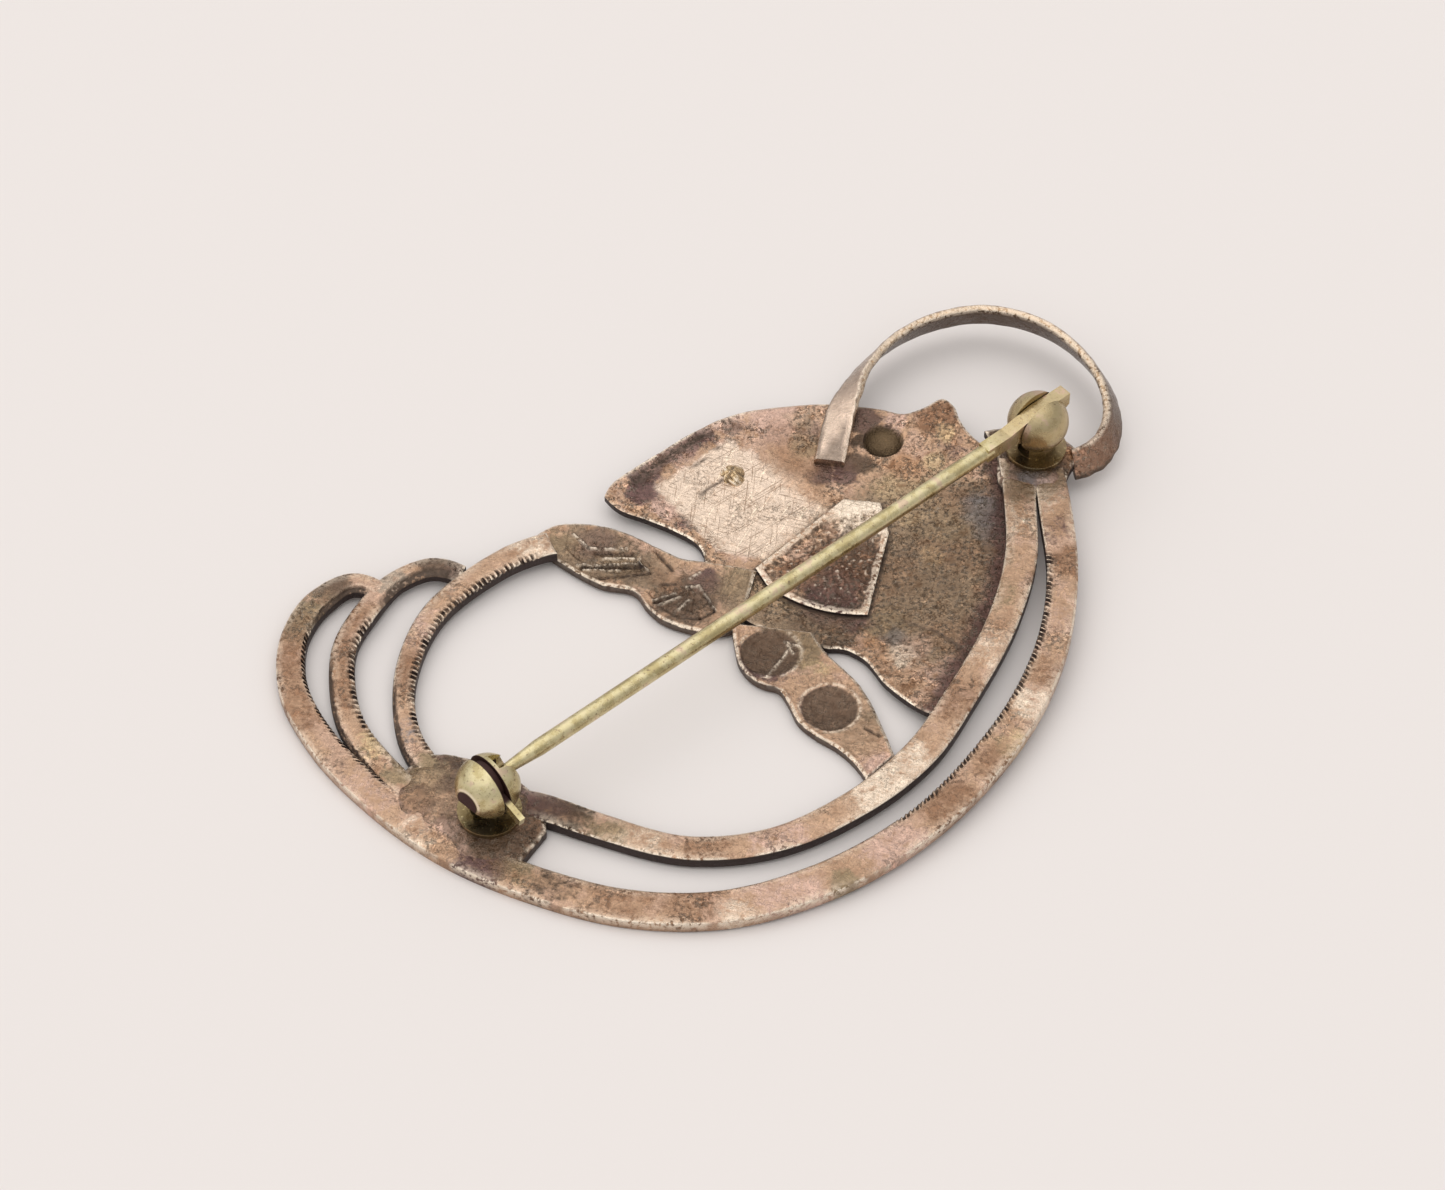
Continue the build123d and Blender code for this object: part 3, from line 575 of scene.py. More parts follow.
def marked(mesh, stains, **marks):
    """Keeps the stains, and marks such as grime with painted shade, wear, and the walls' painted shade and
    patina, on the mesh for its finish.
    """
    colour, cover = stains
    held = mesh.color_attributes.new("tone", "FLOAT_COLOR", "POINT")
    tones = np.column_stack([colour, np.ones(len(colour))])
    held.data.foreach_set("color", tones.astype(np.float32).ravel())
    write_values(mesh, "stain", cover)
    for name, value in marks.items():
        write_values(mesh, name, np.clip(value * np.ones(len(colour)), 0, 1))


def places_of(mesh):
    places = np.zeros(len(mesh.vertices) * 3, np.float32)
    mesh.vertices.foreach_get("co", places)
    return places.reshape(-1, 3).astype(float)


def set_places(mesh, places):
    mesh.vertices.foreach_set("co", np.asarray(places, np.float32).ravel())
    mesh.update()


def smoothed(piece):
    """Shades a piece smooth but for its sharp edges."""
    pick(piece)
    bpy.ops.object.shade_smooth_by_angle(angle=radians(SMOOTH_ANGLE))


def worked(piece, gauge, ground, work):
    """Pulls a flat sheet up to its gauge and gives it its ground height, relief and marks."""
    pick(piece)
    open_all()
    bpy.ops.mesh.extrude_region_move(TRANSFORM_OT_translate={"value": (0, 0, gauge)})
    close_up()
    mesh = piece.data
    places = places_of(mesh)
    sheet = {name: read_values(mesh, name) for name in ("along", "side", "rim") if name in mesh.attributes}
    sheet["top"] = (places[:, 2] > gauge / 2).astype(float)
    x, y = places[:, 0], places[:, 1]
    lift, marks = work(x, y, sheet)
    places[:, 2] += ground(x, y) + lift
    set_places(mesh, places)
    marked(mesh, **marks)
    smoothed(piece)
    return piece


def ribbon(name, left, right, gauge, step, ground, work, columns=STRIP_COLUMNS):
    """Sheet between two edge lines, from a grid whose long sides are laid along them."""
    rows = int(smooth_line(left, 2)[1] / step)
    left_line, right_line = smooth_line(left, rows)[0], smooth_line(right, rows)[0]
    width = np.linalg.norm(right_line - left_line, axis=1)[:, None]
    inner = np.maximum(width - 2 * RIM_LINES[-1], 0.1)
    middle = RIM_LINES[-1] + inner * np.arange(1, columns + 1) / (columns + 1)
    across = np.hstack([0 * width + RIM_LINES, middle, width - RIM_LINES[::-1]])
    lines = across.shape[1]
    bpy.ops.mesh.primitive_grid_add(x_subdivisions=lines - 1, y_subdivisions=rows - 1, size=2)
    piece = started(name)
    side = across / width
    places = left_line[:, None] * (1 - side[..., None]) + right_line[:, None] * side[..., None]
    places[..., 2] = 0
    set_places(piece.data, places)
    run = run_along(left_line)
    end = np.minimum(run, run[-1] - run)[:, None]
    write_values(piece.data, "along", np.repeat(run, lines))
    write_values(piece.data, "side", side.ravel())
    write_values(piece.data, "rim", np.minimum(np.minimum(across, width - across), end).ravel())
    return worked(piece, gauge, ground, work)


def outlined(name, outline, heart, rings, gauge, ground, work):
    """Sheet inside a closed outline, drawn in towards its heart ring by ring."""
    bpy.ops.mesh.primitive_circle_add(vertices=len(outline), radius=1)
    piece = started(name)
    set_places(piece.data, outline * (1, 1, 0))
    open_all()
    share = 1.0
    for ring in rings:
        bpy.ops.mesh.extrude_region_move()
        size = ring / share
        bpy.ops.transform.resize(value=(size, size, 1), center_override=(heart.x, heart.y, 0))
        share = ring
    bpy.ops.mesh.edge_face_add()
    close_up()
    x, y = places_of(piece.data)[:, :2].T
    write_values(piece.data, "rim", far_from(x, y, np.vstack([outline, outline[:1]])))
    return worked(piece, gauge, ground, work)


def drawn_in(fine, step):
    """Ring sizes from an outline to its heart: fine steps at the rim, then even ones."""
    rings = [1 - fine * k for k in RIM_RINGS]
    return rings + list(np.arange(rings[-1] - step, LAST_RING, -step))


def swept(name, sections):
    """Closed bar through a row of closed sections, from a grid that is wrapped round them."""
    rows, around = sections.shape[:2]
    bpy.ops.mesh.primitive_grid_add(x_subdivisions=around, y_subdivisions=rows - 1, size=2)
    piece = started(name)
    set_places(piece.data, np.concatenate([sections, sections[:, :1]], axis=1))
    open_all()
    bpy.ops.mesh.remove_doubles(threshold=SEAM)
    bpy.ops.mesh.select_all(action="DESELECT")
    bpy.ops.mesh.select_non_manifold()
    bpy.ops.mesh.edge_face_add()
    close_up()
    return piece


# Finishes


def feed(tree, node, inputs):
    """Gives a node's inputs their values, or links them to other nodes' outputs."""
    for name, value in inputs.items():
        if isinstance(value, bpy.types.NodeSocket):
            tree.links.new(value, node.inputs[name])
        else:
            node.inputs[name].default_value = value


def add_node(tree, kind, inputs, output=0, **settings):
    """Adds a node, sets it up, feeds its inputs and gives one of its outputs."""
    node = tree.nodes.new("ShaderNode" + kind)
    for name, value in settings.items():
        setattr(node, name, value)
    feed(tree, node, inputs)
    return node.outputs[output]


def colour_of(tone):
    return (*[float(part) for part in seen(tone)], 1.0)


class Finish:
    """Node tree of one finish, with a short call for each kind of node that it uses."""

    def __init__(self, name, colour):
        self.colour = colour
        self.material = bpy.data.materials.new(name)
        self.material.use_nodes = True
        self.tree = self.material.node_tree
        self.tree.nodes.clear()
        self.shader = self.tree.nodes.new("ShaderNodeBsdfPrincipled")
        output = self.tree.nodes.new("ShaderNodeOutputMaterial")
        self.tree.links.new(self.shader.outputs[0], output.inputs[0])
        self.source = self.tree.nodes.new("ShaderNodeTexCoord")
        place = self.source.outputs["Object"]
        self.place = self.turned(place, BENCH_TURN.to_euler(), (MM, MM, MM), BENCH_ORIGIN)

    def node(self, kind, inputs, output=0, **settings):
        return add_node(self.tree, kind, inputs, output, **settings)

    def turned(self, place, turn, scale, origin=(0, 0, 0)):
        """Place as measured from an origin, in a turned and scaled set of axes."""
        inputs = {"Vector": place, "Location": origin, "Rotation": turn, "Scale": scale}
        return self.node("Mapping", inputs, vector_type="TEXTURE")

    def noise(self, size, detail, rough, place=None):
        """Soft noise whose patches are about a size in millimetres."""
        inputs = {"Vector": place or self.place, "Scale": 1 / size, "Detail": detail, "Roughness": rough}
        return self.node("TexNoise", inputs)

    def streaks(self, turn, size, length):
        """Noise drawn out into streaks of a size and length, turned on the bench by degrees."""
        drawn_out = self.turned(self.place, (0, 0, radians(turn)), (length / size, 1, 1))
        return self.noise(size, 2, 0.5, drawn_out)

    def math(self, operation, first, second=0.0, clamp=False):
        return self.node("Math", {0: first, 1: second}, operation=operation, use_clamp=clamp)

    def times(self, product, *others):
        for other in others:
            product = self.math("MULTIPLY", product, other)
        return product

    def plus(self, first, second):
        return self.math("ADD", first, second)

    def less(self, first, second, clamp=False):
        return self.math("SUBTRACT", first, second, clamp)

    def most(self, first, second):
        return self.math("MAXIMUM", first, second)

    def ease(self, value, low, high, amount=1.0):
        """Smooth step of a value from low to high, up to an amount; low may be the larger."""
        inputs = {"Value": value, "From Min": min(low, high), "From Max": max(low, high)}
        inputs["To Min"], inputs["To Max"] = (0.0, amount) if low < high else (amount, 0.0)
        return self.node("MapRange", inputs, interpolation_type="SMOOTHSTEP")

    def mix(self, share, first, second, blend="MIX"):
        return self.node("Mix", {0: share, 6: first, 7: second}, 2, data_type="RGBA", blend_type=blend)

    def lay(self, tone, *shares):
        """Lays a named tone over the colour so far, by the product of the shares."""
        self.colour = self.mix(self.times(*shares), self.colour, colour_of(tone))

    def tint(self, tint, *shares):
        """Darkens or lightens the colour so far by a tint, by the product of the shares."""
        self.colour = self.mix(self.times(*shares), self.colour, tint, "MULTIPLY")

    def held(self, name, output="Fac"):
        """A number or colour kept on the piece's vertices."""
        return self.node("Attribute", {}, output, attribute_name=name)

    def along(self, direction):
        """Distance from the bench's origin along a direction, in millimetres."""
        return self.node("VectorMath", {0: self.place, 1: direction}, "Value", operation="DOT_PRODUCT")

    def distance(self, middle):
        """Distance from a place on the bench, in millimetres."""
        return self.node("VectorMath", {0: self.place, 1: middle}, "Value", operation="DISTANCE")

    def upright(self):
        """1 where the surface faces up from the bench, 0 on a wall."""
        return self.ease(self.node("SeparateXYZ", {0: self.source.outputs["Normal"]}, 2), 0.35, 0.75)

    def bump(self, height, distance, strength, under=None):
        inputs = {"Strength": strength, "Distance": distance * MM, "Height": height}
        if under:
            inputs["Normal"] = under
        return self.node("Bump", inputs)

    def done(self, **sockets):
        """Feeds the shader and gives the finished material."""
        feed(self.tree, self.shader, {"Base Color": self.colour, **sockets})
        return self.material


def silver_finish(name, ground="tan"):
    """Worn silver: ragged stains over a ground tone, pitted with painted glints on the pits' lips,
    scratched, walls darkened by painted shade and patina, and pale rims.
    """
    f = Finish(name, colour_of(ground))
    cloud = f.noise(2.4, 4, 0.6)
    blotch = f.noise(0.85, 6, 0.7)
    grain = f.noise(0.30, 5, 0.62)
    dust = f.noise(0.11, 3, 0.6)
    crumb = f.noise(0.55, 4, 0.62)
    fleck, scratched = f.held("fleck"), f.held("scratch")
    mottled = f.plus(f.times(fleck, 0.65), 0.35)
    f.lay("pink", f.ease(cloud, 0.48, 0.62, 0.4))
    f.lay("brown", f.ease(cloud, 0.46, 0.34, 0.35))
    ragged = f.plus(f.times(f.less(blotch, 0.5), 1.5), f.times(f.less(grain, 0.5), 0.8))
    ragged = f.plus(ragged, f.held("stain"))
    f.colour = f.mix(f.ease(ragged, 0.15, 0.72), f.colour, f.held("tone", "Color"))
    f.tint(DARKER, f.ease(blotch, 0.47, 0.33), mottled)
    f.tint(LIGHTER, f.ease(blotch, 0.54, 0.66), mottled)
    # Pits with painted glints on their lips, and crusts with a painted shadow round them
    pitted = f.times(fleck, f.ease(blotch, 0.42, 0.56))
    pits = f.times(f.ease(grain, 0.575, 0.625), pitted)
    glint_lips = f.times(f.ease(grain, 0.51, 0.565), f.less(pitted, pits, True))
    f.lay("bright", glint_lips, 0.45)
    f.lay("dark", pits, 0.8)
    crust = f.times(f.ease(crumb, 0.57, 0.61), fleck)
    shade = f.times(f.ease(crumb, 0.53, 0.56), f.less(fleck, crust, True))
    f.tint(LIGHTER, crust, 0.8)
    f.tint(DARKER, shade, 0.8)
    f.tint(DARKER, f.ease(dust, 0.56, 0.66, 0.6), mottled)
    f.tint(LIGHTER, f.ease(dust, 0.42, 0.32, 0.8), mottled)
    # Scratches: fine pale ones and longer dark ones
    f.tint(LIGHTER, f.ease(f.streaks(62, 0.12, 4), 0.58, 0.68, 0.7), scratched)
    scratch = f.most(f.most(f.streaks(38, 0.09, 7), f.streaks(-16, 0.08, 5)), f.streaks(84, 0.10, 4))
    scored = f.times(f.ease(scratch, 0.62, 0.70), scratched)
    f.tint(DARKER, scored, 0.7)
    f.lay("bright", f.held("wear"), f.ease(grain, 0.60, 0.50))
    # Grime in cuts and hollows, together with painted shade round the tag, along the darkened strip edges
    # and under the curl
    grime = f.times(f.held("grime"), f.ease(grain, 0.30, 0.50))
    f.lay("dark", grime)
    # Walls painted near black: painted shade, partly patina
    wall = f.times(f.less(1.0, f.upright()), f.held("wall_shade_and_patina"))
    f.lay("black", wall)
    darkening = f.most(wall, grime)
    rough = f.plus(f.ease(blotch, 0.3, 0.7, 0.14), 0.17)
    rough = f.plus(rough, f.times(f.most(darkening, pits), 0.25))
    metal = f.less(0.94, f.times(darkening, 0.6))
    relief = f.less(f.times(f.plus(glint_lips, crust), 0.6), pits)
    normal = f.bump(blotch, 0.24, 0.7)
    normal = f.bump(relief, 0.10, 0.9, normal)
    normal = f.bump(dust, 0.03, 0.6, normal)
    normal = f.bump(scored, -0.02, 0.7, normal)
    return f.done(Metallic=metal, Roughness=rough, Normal=normal)


def brass_finish(name, ball=None, slit_side=None, smoke=None, mouth=None):
    """Dull brass, with painted shade low down, in the ball's slit and in a painted hollow at its mouth, and
    within reach of the ball's middle; a painted highlight on the mouth's lip.
    """
    f = Finish(name, colour_of("brass"))
    cloud = f.noise(1.5, 5, 0.65)
    grain = f.noise(0.22, 5, 0.65)
    hinge = joint_ball.dot(pin_line)
    f.lay("straw", f.ease(cloud, 0.38, 0.60))
    f.lay("flesh", f.ease(f.along(pin_line), hinge - 5.0, hinge - 3.0, 0.7))
    f.lay("pink", f.ease(cloud, 0.56, 0.66, 0.6))
    f.lay("olive", f.ease(grain, 0.57, 0.66, 0.7))
    f.lay("dark", f.ease(grain, 0.66, 0.70, 0.8))
    height = f.along((0, 0, 1))
    # Painted shade low down, over the base disc and the ball's lower part
    darkening = f.times(f.ease(height, 2.7, 1.6, 0.8), f.ease(grain, 0.30, 0.45))
    f.lay("smoke", darkening)
    # A painted highlight round the base disc's side, near its top
    f.lay("straw", f.ease(height, 1.24, 1.30), f.ease(height, 1.38, 1.34))
    if ball:
        # Painted shade deep in the ball within the smoke reach of its middle, in its slit, and as a painted
        # hollow at its mouth, with a painted highlight on the mouth's lip
        darkening = f.ease(f.distance(ball), smoke[1], smoke[0]) if smoke else 0.0
        if slit_side:
            across = f.math("ABSOLUTE", f.less(f.along(slit_side), ball.dot(slit_side)))
            slit = f.times(f.ease(across, SLIT_HALF + 0.06, SLIT_HALF + 0.01), f.ease(height, 2.0, 2.4))
            darkening = f.most(slit, darkening)
        if mouth:
            out = f.distance(ball + Vector(mouth))
            darkening = f.most(darkening, f.ease(out, MOUTH_RADIUS + 0.05, MOUTH_RADIUS - 0.05))
            lip = f.ease(out, MOUTH_RADIUS + 0.25, MOUTH_RADIUS + 0.1, 0.6)
            f.lay("bright", f.ease(out, MOUTH_RADIUS, MOUTH_RADIUS + 0.05), lip)
        f.lay("maroon", darkening)
    rough = f.plus(f.ease(cloud, 0.3, 0.7, 0.12), 0.22)
    rough = f.plus(rough, f.times(darkening, 0.3))
    normal = f.bump(grain, 0.03, 0.6, f.bump(cloud, 0.10, 0.5))
    return f.done(Metallic=f.less(0.97, f.times(darkening, 0.5)), Roughness=rough, Normal=normal)


silver = silver_finish("worn_silver")
smoked_silver = silver_finish("smoked_silver", "umber")
solder = silver_finish("grey_solder", "gold")


# Strips


def strip_work(stains, ticks, edge_shade_and_patina, left_wall_shade_and_patina, right_wall_shade_and_patina, seed):
    """Relief and marks of a strip; ticks, and edges sloped down and darkened by painted shade and patina,
    are given by side, start and end.
    """

    def work(x, y, sheet):
        rim, top, along, side = [sheet[name] for name in ("rim", "top", "along", "side")]

        def stretch(which, start, end, fade):
            """1 along one side of the back between two places, fading out over a length."""
            near = side < 0.5 if which == "left" else side > 0.5
            return top * near * ease(along, start, start + fade) * ease(along, end, end - fade)

        soft = ripple(x, y, 2.4, seed)
        fine = ripple(x, y, 0.7, seed + 3)
        lift = top * (0.030 * soft + 0.014 * fine)
        lift += rounded_rim(rim, top, 0.10, 0.24) + rounded_rim(rim, top, 0.06, 0.95)
        grime = np.zeros(len(x))
        wear = top * ease(rim, 0.20, 0.04) * ease(soft + 0.6 * fine, -0.7, 0.0)
        wear = np.maximum(wear, 0.30 * top * ease(rim, 0.85, 0.15) * ease(soft, -0.5, 0.3))
        for which, start, end in ticks:
            phase = along / TICK_PITCH + 0.22 * ripple(along, 0 * along, 1.7, seed + 7)
            beat = np.abs(phase % 1 - 0.5) * 2
            row = stretch(which, start, end, 1) * ease(rim, 0.48 + 0.14 * fine, 0.32 + 0.14 * fine)
            deep = row * ease(beat, 0.66, 0.34) * np.clip(1.0 + 1.2 * fine, 0, 1.2)
            lift -= TICK_DEPTH * deep
            grime = np.maximum(grime, 1.3 * deep)
            wear = np.maximum(wear, 0.7 * row * ease(beat, 0.6, 0.85) * ease(rim, 0.35, 0.2))
        # Edges that slope down to the rim and are darkened: painted shade, partly patina, as on the walls
        for which, start, end, reach in edge_shade_and_patina:
            edge = stretch(which, start - 0.8, end + 0.8, 1.6) * ease(rim + 0.12 * fine, reach, 0.5 * reach)
            lift -= SHADED_EDGE_DEPTH * edge
            grime = np.maximum(grime, 1.2 * edge)
            wear = wear * (1 - edge)
        return lift, dict(
            stains=stained(x, y, stains, seed), grime=grime, wear=wear, scratch=0.35,
            fleck=0.10 + 0.6 * ease(ripple(x, y, 3.2, seed + 5), 0.0, 0.5),
            wall_shade_and_patina=left_wall_shade_and_patina * (1 - side) + right_wall_shade_and_patina * side,
        )

    return work


outer_ticks = [("right", 7.5, 37.0), ("right", 76.0, 93.0)]
outer_work = strip_work(OUTER_STAINS, outer_ticks, [("right", 93.5, 99.0, 0.45)], 0.15, 1.0, 1.0)
inner_edge_shade_and_patina = [("left", 62.0, 72.0, 0.3)]
inner_work = strip_work(INNER_STAINS, [("right", 64.0, 88.5)], inner_edge_shade_and_patina, 1.0, 1.0, 21.0)
loop_edge_shade_and_patina = [("left", 0.5, 6.0, 0.75), ("right", 12.0, 22.0, 0.3)]
loop_work = strip_work(LOOP_STAINS, [("left", 7.0, 18.5)], loop_edge_shade_and_patina, 1.0, 1.0, 41.0)
for name, rows, width, low, work in (
    ("outer_strip", OUTER_STRIP, STRIP_WIDTH, 0, outer_work),
    ("inner_strip", INNER_STRIP, STRIP_WIDTH, 0, inner_work),
    ("middle_loop", MIDDLE_LOOP, LOOP_WIDTH, LOOP_INSET, loop_work),
):
    left, right = edge_lines(rows, width)
    carried(ribbon(name, left, right, STRIP_GAUGE - 2 * low, STRIP_STEP, flat(low), work), silver)


# Head plate


def plate_work(x, y, sheet):
    """Hammered dish with its worn rim, the eye pushed in from the back and a scraped patch."""
    rim, top = sheet["rim"], sheet["top"]
    eye = spot(EYE_SHARES)
    out = np.hypot(x - eye.x, y - eye.y)
    cup = np.clip(1 - (out / EYE_RADIUS) ** 2, 0, 1) ** 0.7
    soft = ripple(x, y, 3.2, 61)
    fine = ripple(x, y, 0.8, 62)
    height, cut, ridge = line_relief(x, y, PLATE_LINES)
    lift = top * (0.05 * soft + 0.02 * fine + height) - EYE_DEPTH * cup + rounded_rim(rim, top)
    lift += 0.04 * top * bell(out, EYE_RADIUS + 0.1, 0.15)
    colour, cover = stained(x, y, PLATE_STAINS, 63)
    bowl = top * ease(out, EYE_RADIUS + 0.08, EYE_RADIUS - 0.12)
    colour = covered(colour, 0.6 * seen("smoke") + 0.5 * seen("dark"), bowl)
    outside = np.full(len(x), -FAR)
    for start, end in zip(SCRAPED, SCRAPED[1:] + SCRAPED[:1]):
        run_x, run_y = end[0] - start[0], end[1] - start[1]
        past = ((y - start[1]) * run_x - (x - start[0]) * run_y) / hypot(run_x, run_y)
        outside = np.maximum(outside, past)
    fading = 0.3 + 0.9 * ease(x, 0.5, 4.0)
    scraped = ease(outside + 0.2 * fine + 0.2 * ripple(x, y, 0.35, 65), fading, -fading)
    colour = covered(colour, 0.75 * seen("pale") + 0.25 * seen("pink"), scraped)
    crusty = np.maximum(ease(ripple(x, y, 2.2, 64), 0.0, 0.4), ease(rim, 1.9, 1.1) * ease(x, 2.0, 0.0))
    crusty = np.maximum(crusty, 0.7 * ease(x - 0.4 * y, 5.0, 9.0))
    # Painted shade along the inner strip, where the plate runs under it
    shaded = top * ease(far_from(x, y, ring_inside) + 0.35 * fine + 0.3 * soft, 1.7, 0.2)
    colour = covered(colour, 0.5 * seen("plum") + 0.5 * seen("maroon"), 0.9 * shaded)
    cover = np.max([cover, 1.5 * bowl, 0.9 * scraped, 1.1 * shaded], axis=0)
    # A painted shadow line on the plate round the raised tag
    by_tag = ease(far_from(x, y, tag_line), 0.32, 0.12)
    return lift, dict(
        stains=(colour, cover), wall_shade_and_patina=1.0, scratch=0.25 + 0.75 * scraped,
        grime=top * np.maximum(cut * ease(rim, 0.1, 0.5), 0.9 * by_tag),
        wear=top * (ease(rim, 0.22, 0.05) * ease(soft + 0.6 * fine, -0.5, 0.1) + 0.3 * ridge),
        fleck=(0.15 + 0.8 * crusty) * (1 - 0.6 * scraped) * (1 - bowl),
    )


def plate_ground(x, y):
    return dish_top(x, y) - PLATE_GAUGE


ring_inside = edge_lines(INNER_STRIP, STRIP_WIDTH)[1]
tag_line = closed_line(TAG_RUNS, TAG_PLACES)
plate_line, plate_rings = closed_line(PLATE_RUNS, PLATE_PLACES), drawn_in(*PLATE_RINGS)
plate_heart = spot(PLATE_HEART)
head = outlined("head_plate", plate_line, plate_heart, plate_rings, PLATE_GAUGE, plate_ground, plate_work)
carried(head, silver)


# Fins


def fin_work(stains, lines, seed):
    """Relief of a fin: sunk leaves, dimples, cut lines and a bright burred rim."""

    def work(x, y, sheet):
        rim, top = sheet["rim"], sheet["top"]
        height, cut, ridge = line_relief(x, y, lines)
        fine = ripple(x, y, 0.6, seed)
        rough = ripple(x, y, 0.28, seed + 1)
        sunk, dish, lip = np.zeros((3, len(x)))
        for middle_x, middle_y, half_long, half_wide, turn, depth in LEAVES:
            turned = radians(turn)
            u = (x - middle_x) * cos(turned) + (y - middle_y) * sin(turned)
            v = (y - middle_y) * cos(turned) - (x - middle_x) * sin(turned)
            leaf = 1 - np.abs(v) / half_wide - (u / half_long) ** 2
            sunk = np.maximum(sunk, ease(leaf, 0.0, 0.22) * depth)
        for across, down, reach in FIN_DISHES:
            place = spot((across, down))
            out = np.hypot(x - place.x, y - place.y) / reach
            dish = np.maximum(dish, np.clip(1 - out**2, 0, 1) ** 0.7 * FIN_DISH_DEPTH)
            lip = np.maximum(lip, bell(out, 1.04, 0.06) * ease(fine, -0.5, 0.1))
        inside = ease(rim, 0.25, 0.5)
        lift = top * (0.045 * fine + 0.03 * rough + 1.8 * height * inside - sunk * inside - dish)
        lift += rounded_rim(rim, top) + top * 0.05 * bell(rim, 0.22, 0.12)
        colour, cover = stained(x, y, stains, seed + 2)
        bowl = top * ease(dish, 0.02, 0.09)
        colour, cover = covered(colour, seen("umber"), bowl), np.maximum(cover, 1.2 * bowl)
        burr = (0.8 * ridge * ease(rough, -0.6, 0.0) + 0.5 * lip) * inside
        return lift, dict(
            stains=(colour, cover), wall_shade_and_patina=0.85, scratch=0.6, fleck=0.2 + 0.35 * (sunk > 0),
            grime=top * inside * np.maximum(1.1 * cut, 0.3 * ease(rough, 0.0, 0.5) * (sunk > 0)),
            wear=top * np.maximum(0.85 * ease(rim, 0.24, 0.12), burr),
        )

    return work


for name, edges, work in (
    ("left_fin", LEFT_FIN_EDGES, fin_work(LEFT_FIN_STAINS, LEFT_FIN_LINES, 81)),
    ("right_fin", RIGHT_FIN_EDGES, fin_work(RIGHT_FIN_STAINS, RIGHT_FIN_LINES, 91)),
):
    left, right = [[spot(share) for share in edge] for edge in edges]
    low = flat(FIN_LAP - FIN_GAUGE)
    carried(ribbon(name, left, right, FIN_GAUGE, FIN_STEP, low, work, FIN_COLUMNS), silver)


# Pads under the fittings


def pad_work(seed):
    """Rough pad whose rim sinks under the strips' tops, with a bright burr."""

    def work(x, y, sheet):
        rim, top = sheet["rim"], sheet["top"]
        soft = ripple(x, y, 1.3, seed)
        fine = ripple(x, y, 0.42, seed + 1)
        fall = ease(rim + 0.5 * soft, 1.5, 0.1)
        lift = top * (0.05 * soft + 0.05 * fine - PAD_FALL * fall) + rounded_rim(rim, top, 0.12, 0.25)
        return lift, dict(
            stains=stained(x, y, PAD_STAINS, seed + 2), grime=0.25 * ease(soft, 0.1, -0.3), wall_shade_and_patina=0.9,
            wear=0.8 * top * ease(rim, 0.28, 0.12) * ease(fine, -0.4, 0.1),
            fleck=0.35 + 0.65 * fall, scratch=0.3,
        )

    return work


for name, runs, seed in (("catch_pad", CATCH_PAD, 101), ("joint_pad", JOINT_PAD, 111)):
    line, rings, gauge = closed_line(runs, PAD_PLACES), drawn_in(*PAD_RINGS), STRIP_GAUGE + PAD_PROUD
    pad = outlined(name, line, Vector(line.mean(0)), rings, gauge, flat(0), pad_work(seed))
    carried(pad, smoked_silver)


# Curl


def signed_power(value, power):
    """Rounds a turn's sine or cosine off towards the corners of a box."""
    return np.sign(value) * np.abs(value) ** power


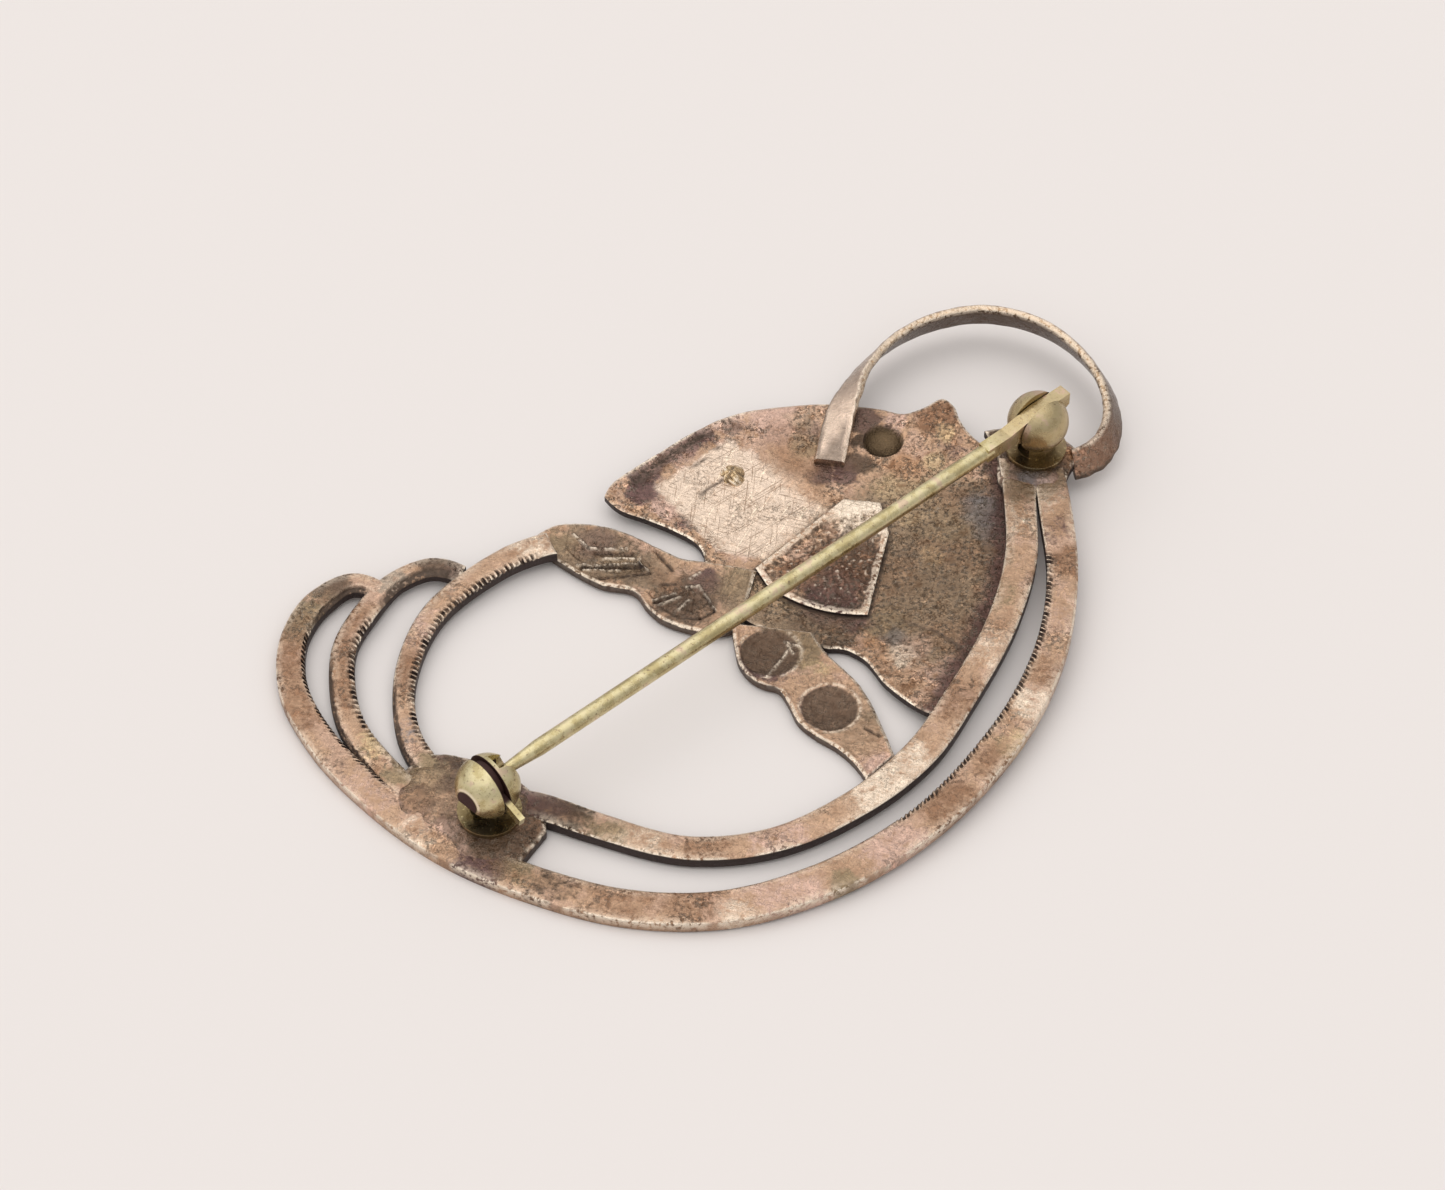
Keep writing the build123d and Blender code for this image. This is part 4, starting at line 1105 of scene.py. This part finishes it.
def make_curl():
    """Ribbon of the curl, leaning more and more to lie flat at its end on the head plate."""
    start = spot(CURL_RUN[0])
    level = float(dish_top(start.x, start.y))
    rows = [(*spot(row)[:2], level + row[2] * CURL_WIDTH) for row in CURL_RUN]
    run = smooth_line(rows, CURL_PLACES)[0]
    at_rows = run_along(np.array(rows))
    share = np.linspace(0, 1, CURL_PLACES)
    lean = np.radians(np.interp(share, at_rows / at_rows[-1], [row[3] for row in CURL_RUN]))
    along = np.gradient(run, axis=0)
    along /= np.linalg.norm(along, axis=1)[:, None]
    outward = np.stack([-along[:, 1], along[:, 0], 0 * lean], 1)
    outward /= np.linalg.norm(outward, axis=1)[:, None]
    rise = np.array([0, 0, 1]) * np.cos(lean)[:, None] - outward * np.sin(lean)[:, None]
    flat_side = np.cross(along, rise)
    turn = np.linspace(0, 2 * pi, CURL_SIDES, endpoint=False)
    wide = signed_power(np.cos(turn), 0.3)
    thin = signed_power(np.sin(turn), 0.45)
    rise, flat_side = rise[:, None], flat_side[:, None]
    sections = run[:, None] + rise * wide[:, None] * CURL_WIDTH / 2
    sections += flat_side * thin[:, None] * CURL_GAUGE / 2
    share, upper, inward = share[:, None] + 0 * wide, wide + 0 * share[:, None], thin + 0 * share[:, None]
    lumps = ripple(sections[..., 0].ravel(), (sections[..., 1] + sections[..., 2]).ravel(), 0.9, 121)
    lumps = lumps.reshape(share.shape) * (0.04 + 0.14 * ease(share, 0.88, 0.97))
    groove = np.cos(upper * CURL_GROOVES + GROOVE_DRIFT * share)
    worn_groove = groove * ease(-inward, 0.3, 0.8) * ease(share, 0.2, 0.1)
    sections += (lumps - GROOVE_DEPTH * worn_groove)[..., None] * (rise + flat_side)
    piece = swept("curl_strip", sections)
    finder = kdtree.KDTree(share.size)
    for i, place in enumerate(sections.reshape(-1, 3)):
        finder.insert(place, i)
    finder.balance()
    order = [finder.find(place)[1] for place in places_of(piece.data)]
    share, upper, inward, groove = [grid.ravel()[order] for grid in (share, upper, inward, groove)]
    leg = ease(share, 0.20, 0.10)
    stripe = leg * ease(groove, 0.2, 0.9)
    # The outer face is paler on the flat leg, darker where it stands up and umber towards the hook: painted
    # shade on the upright face
    outer_tone = (0.6 * seen("pale") + 0.4 * seen("pink")) * (0.95 * leg + 0.55 * (1 - leg))[:, None]
    outer_tone = covered(outer_tone, 0.85 * seen("umber"), ease(share, 0.62, 0.78))
    outer_tone = outer_tone * (1 - 0.55 * stripe)[:, None]
    end = ease(share, 0.84, 0.97)
    colour = covered(0.45 * seen("gold") + 0.55 * seen("tan"), outer_tone, ease(-inward, 0.2, 0.7))
    # The inner face is painted dark: painted shade
    colour = covered(colour, 1.15 * seen("dark"), ease(inward, 0.2, 0.7))
    colour = covered(colour, 0.7 * seen("brown") + 0.2 * seen("pink"), end)
    # The lower edge, off the leg, gets painted shade
    underside = ease(-upper, 0.6, 0.9) * (1 - leg)
    marks = dict(grime=0.9 * underside, wear=0.5 * ease(upper, 0.75, 0.95), fleck=0.9 * end, scratch=0.3)
    marked(piece.data, (colour, np.full(len(share), 1.1)), **marks)
    smoothed(piece)
    carried(piece, silver)


make_curl()


# Tag plate and solder bead


def tag_work(x, y, sheet):
    """Bare panel sunk inside a raised, worn rim."""
    rim, top = sheet["rim"], sheet["top"]
    fine = ripple(x, y, 0.5, 131)
    coarse = ripple(x, y, 1.1, 133)
    crust = ripple(x, y, 0.3, 134)
    floor = ease(rim + 0.08 * fine + 0.08 * coarse, 0.44, 0.56) * ease(y - 0.3 * x + 0.2 * fine, 4.5, 4.25)
    sink = TAG_SINK + 0.05 * coarse - 0.10 * crust
    worn = (1 - floor) * (0.45 + 0.55 * ease(rim, 0.22, 0.08))
    return top * (0.02 * fine - sink * floor) + rounded_rim(rim, top, 0.06, 0.14), dict(
        stains=stained(x, y, TAG_STAINS, 132), wall_shade_and_patina=1.0, scratch=0.8 * (1 - floor), fleck=0.05 + 0.8 * floor,
        grime=top * floor * (0.30 + 0.5 * ease(rim, 0.9, 0.6)) * ease(crust, 0.3, -0.1),
        wear=top * np.maximum(worn, 0.5 * floor * ease(crust, 0.3, 0.6)),
    )


tag_rings, tag_ground = drawn_in(*TAG_RINGS), flat(-DISH_DEPTH)
tag = outlined("tag_plate", tag_line, spot(TAG_HEART), tag_rings, TAG_GAUGE, tag_ground, tag_work)
carried(tag, silver)

bead_place = spot(BEAD_SHARES)
bead_place.z = float(dish_top(bead_place.x, bead_place.y)) - BEAD_SINK
bpy.ops.mesh.primitive_uv_sphere_add(segments=64, ring_count=40, radius=BEAD_RADIUS, location=bead_place)
bead = started("solder_bead")
places = places_of(bead.data)
rough = ripple(places[:, 0] + places[:, 2], places[:, 1], 0.35, 141)
places = places * (1 + BEAD_LUMPS * rough)[:, None]
places[:, 2] = np.maximum(places[:, 2], 0)
set_places(bead.data, places)
stains = (np.tile(seen("gold"), (len(places), 1)), 0.8 + 0 * rough)
marked(bead.data, stains, grime=0.8 * ease(rough, -0.1, -0.4), wear=0.8 * ease(rough, 0.0, 0.3), fleck=0.6)
bpy.ops.object.shade_smooth()
carried(bead, solder)


# Brass fittings

catch_ball = spot(CATCH_SHARES) + Vector((0, 0, BALL_LEVEL))
for node, *fitting in (
    ("joint", joint_ball, pin_side),
    ("hinge_rivet", joint_ball, pin_side, (1.2, 1.9)),
    ("pin_stem",),
    ("catch", catch_ball, pin_line, (1.0, 1.5), MOUTH_OFFSET),
    ("catch_lever", catch_ball, None, (1.9, 2.3)),
):
    finishes = frame["nodes"][node].data.materials
    finishes.clear()
    finishes.append(brass_finish("brass_" + node, *fitting))


# Table, light and camera

bpy.ops.mesh.primitive_plane_add(size=TABLE_SIZE)
table = started("table")
table.data.materials.append(Finish("pale_paper", FLOOR_COLOUR).done(Roughness=0.9))

world = bpy.data.worlds.new("studio")
bpy.context.scene.world = world
world.use_nodes = True
studio = world.node_tree
gaze = add_node(studio, "TexCoord", {}, "Generated")
sky_middle = BENCH_TURN @ Vector(SKY_BRIGHT).normalized()
toward = add_node(studio, "VectorMath", {0: gaze, 1: sky_middle}, "Value", operation="DOT_PRODUCT")
inputs = {"Value": toward, "From Min": SKY_EDGE, "To Min": SKY_RANGE[0], "To Max": SKY_RANGE[1]}
strength = add_node(studio, "MapRange", inputs, interpolation_type="SMOOTHSTEP")
feed(studio, studio.nodes["Background"], {"Color": SKY_COLOUR, "Strength": strength})

for name, place, size, power, tone in LAMPS:
    place = BENCH_TURN @ Vector(place)
    bpy.ops.object.light_add(type="AREA", location=place, rotation=place.to_track_quat("Z", "Y").to_euler())
    lamp = bpy.context.object
    lamp.name = name
    lamp.data.size = size
    lamp.data.energy = power
    lamp.data.color = tone

elevation = radians(VIEW_ELEVATION)
backward = Vector((0, -cos(elevation), sin(elevation)))
bpy.ops.object.camera_add()
camera = bpy.context.object
camera.name = "photo_camera"
camera.data.sensor_width = SENSOR_WIDTH
camera.data.lens = SENSOR_WIDTH * PIXELS_PER_MM * VIEW_DISTANCE / IMAGE_WIDTH
camera.data.clip_start, camera.data.clip_end = VIEW_REACH
right, back = BENCH_TURN @ Vector((1, 0, 0)), BENCH_TURN @ backward
axes = Matrix((right, back.cross(right), back)).transposed().to_4x4()
camera.matrix_world = Matrix.Translation(BENCH @ (backward * VIEW_DISTANCE)) @ axes
bpy.context.scene.camera = camera
bpy.context.scene.view_settings.view_transform = "Standard"
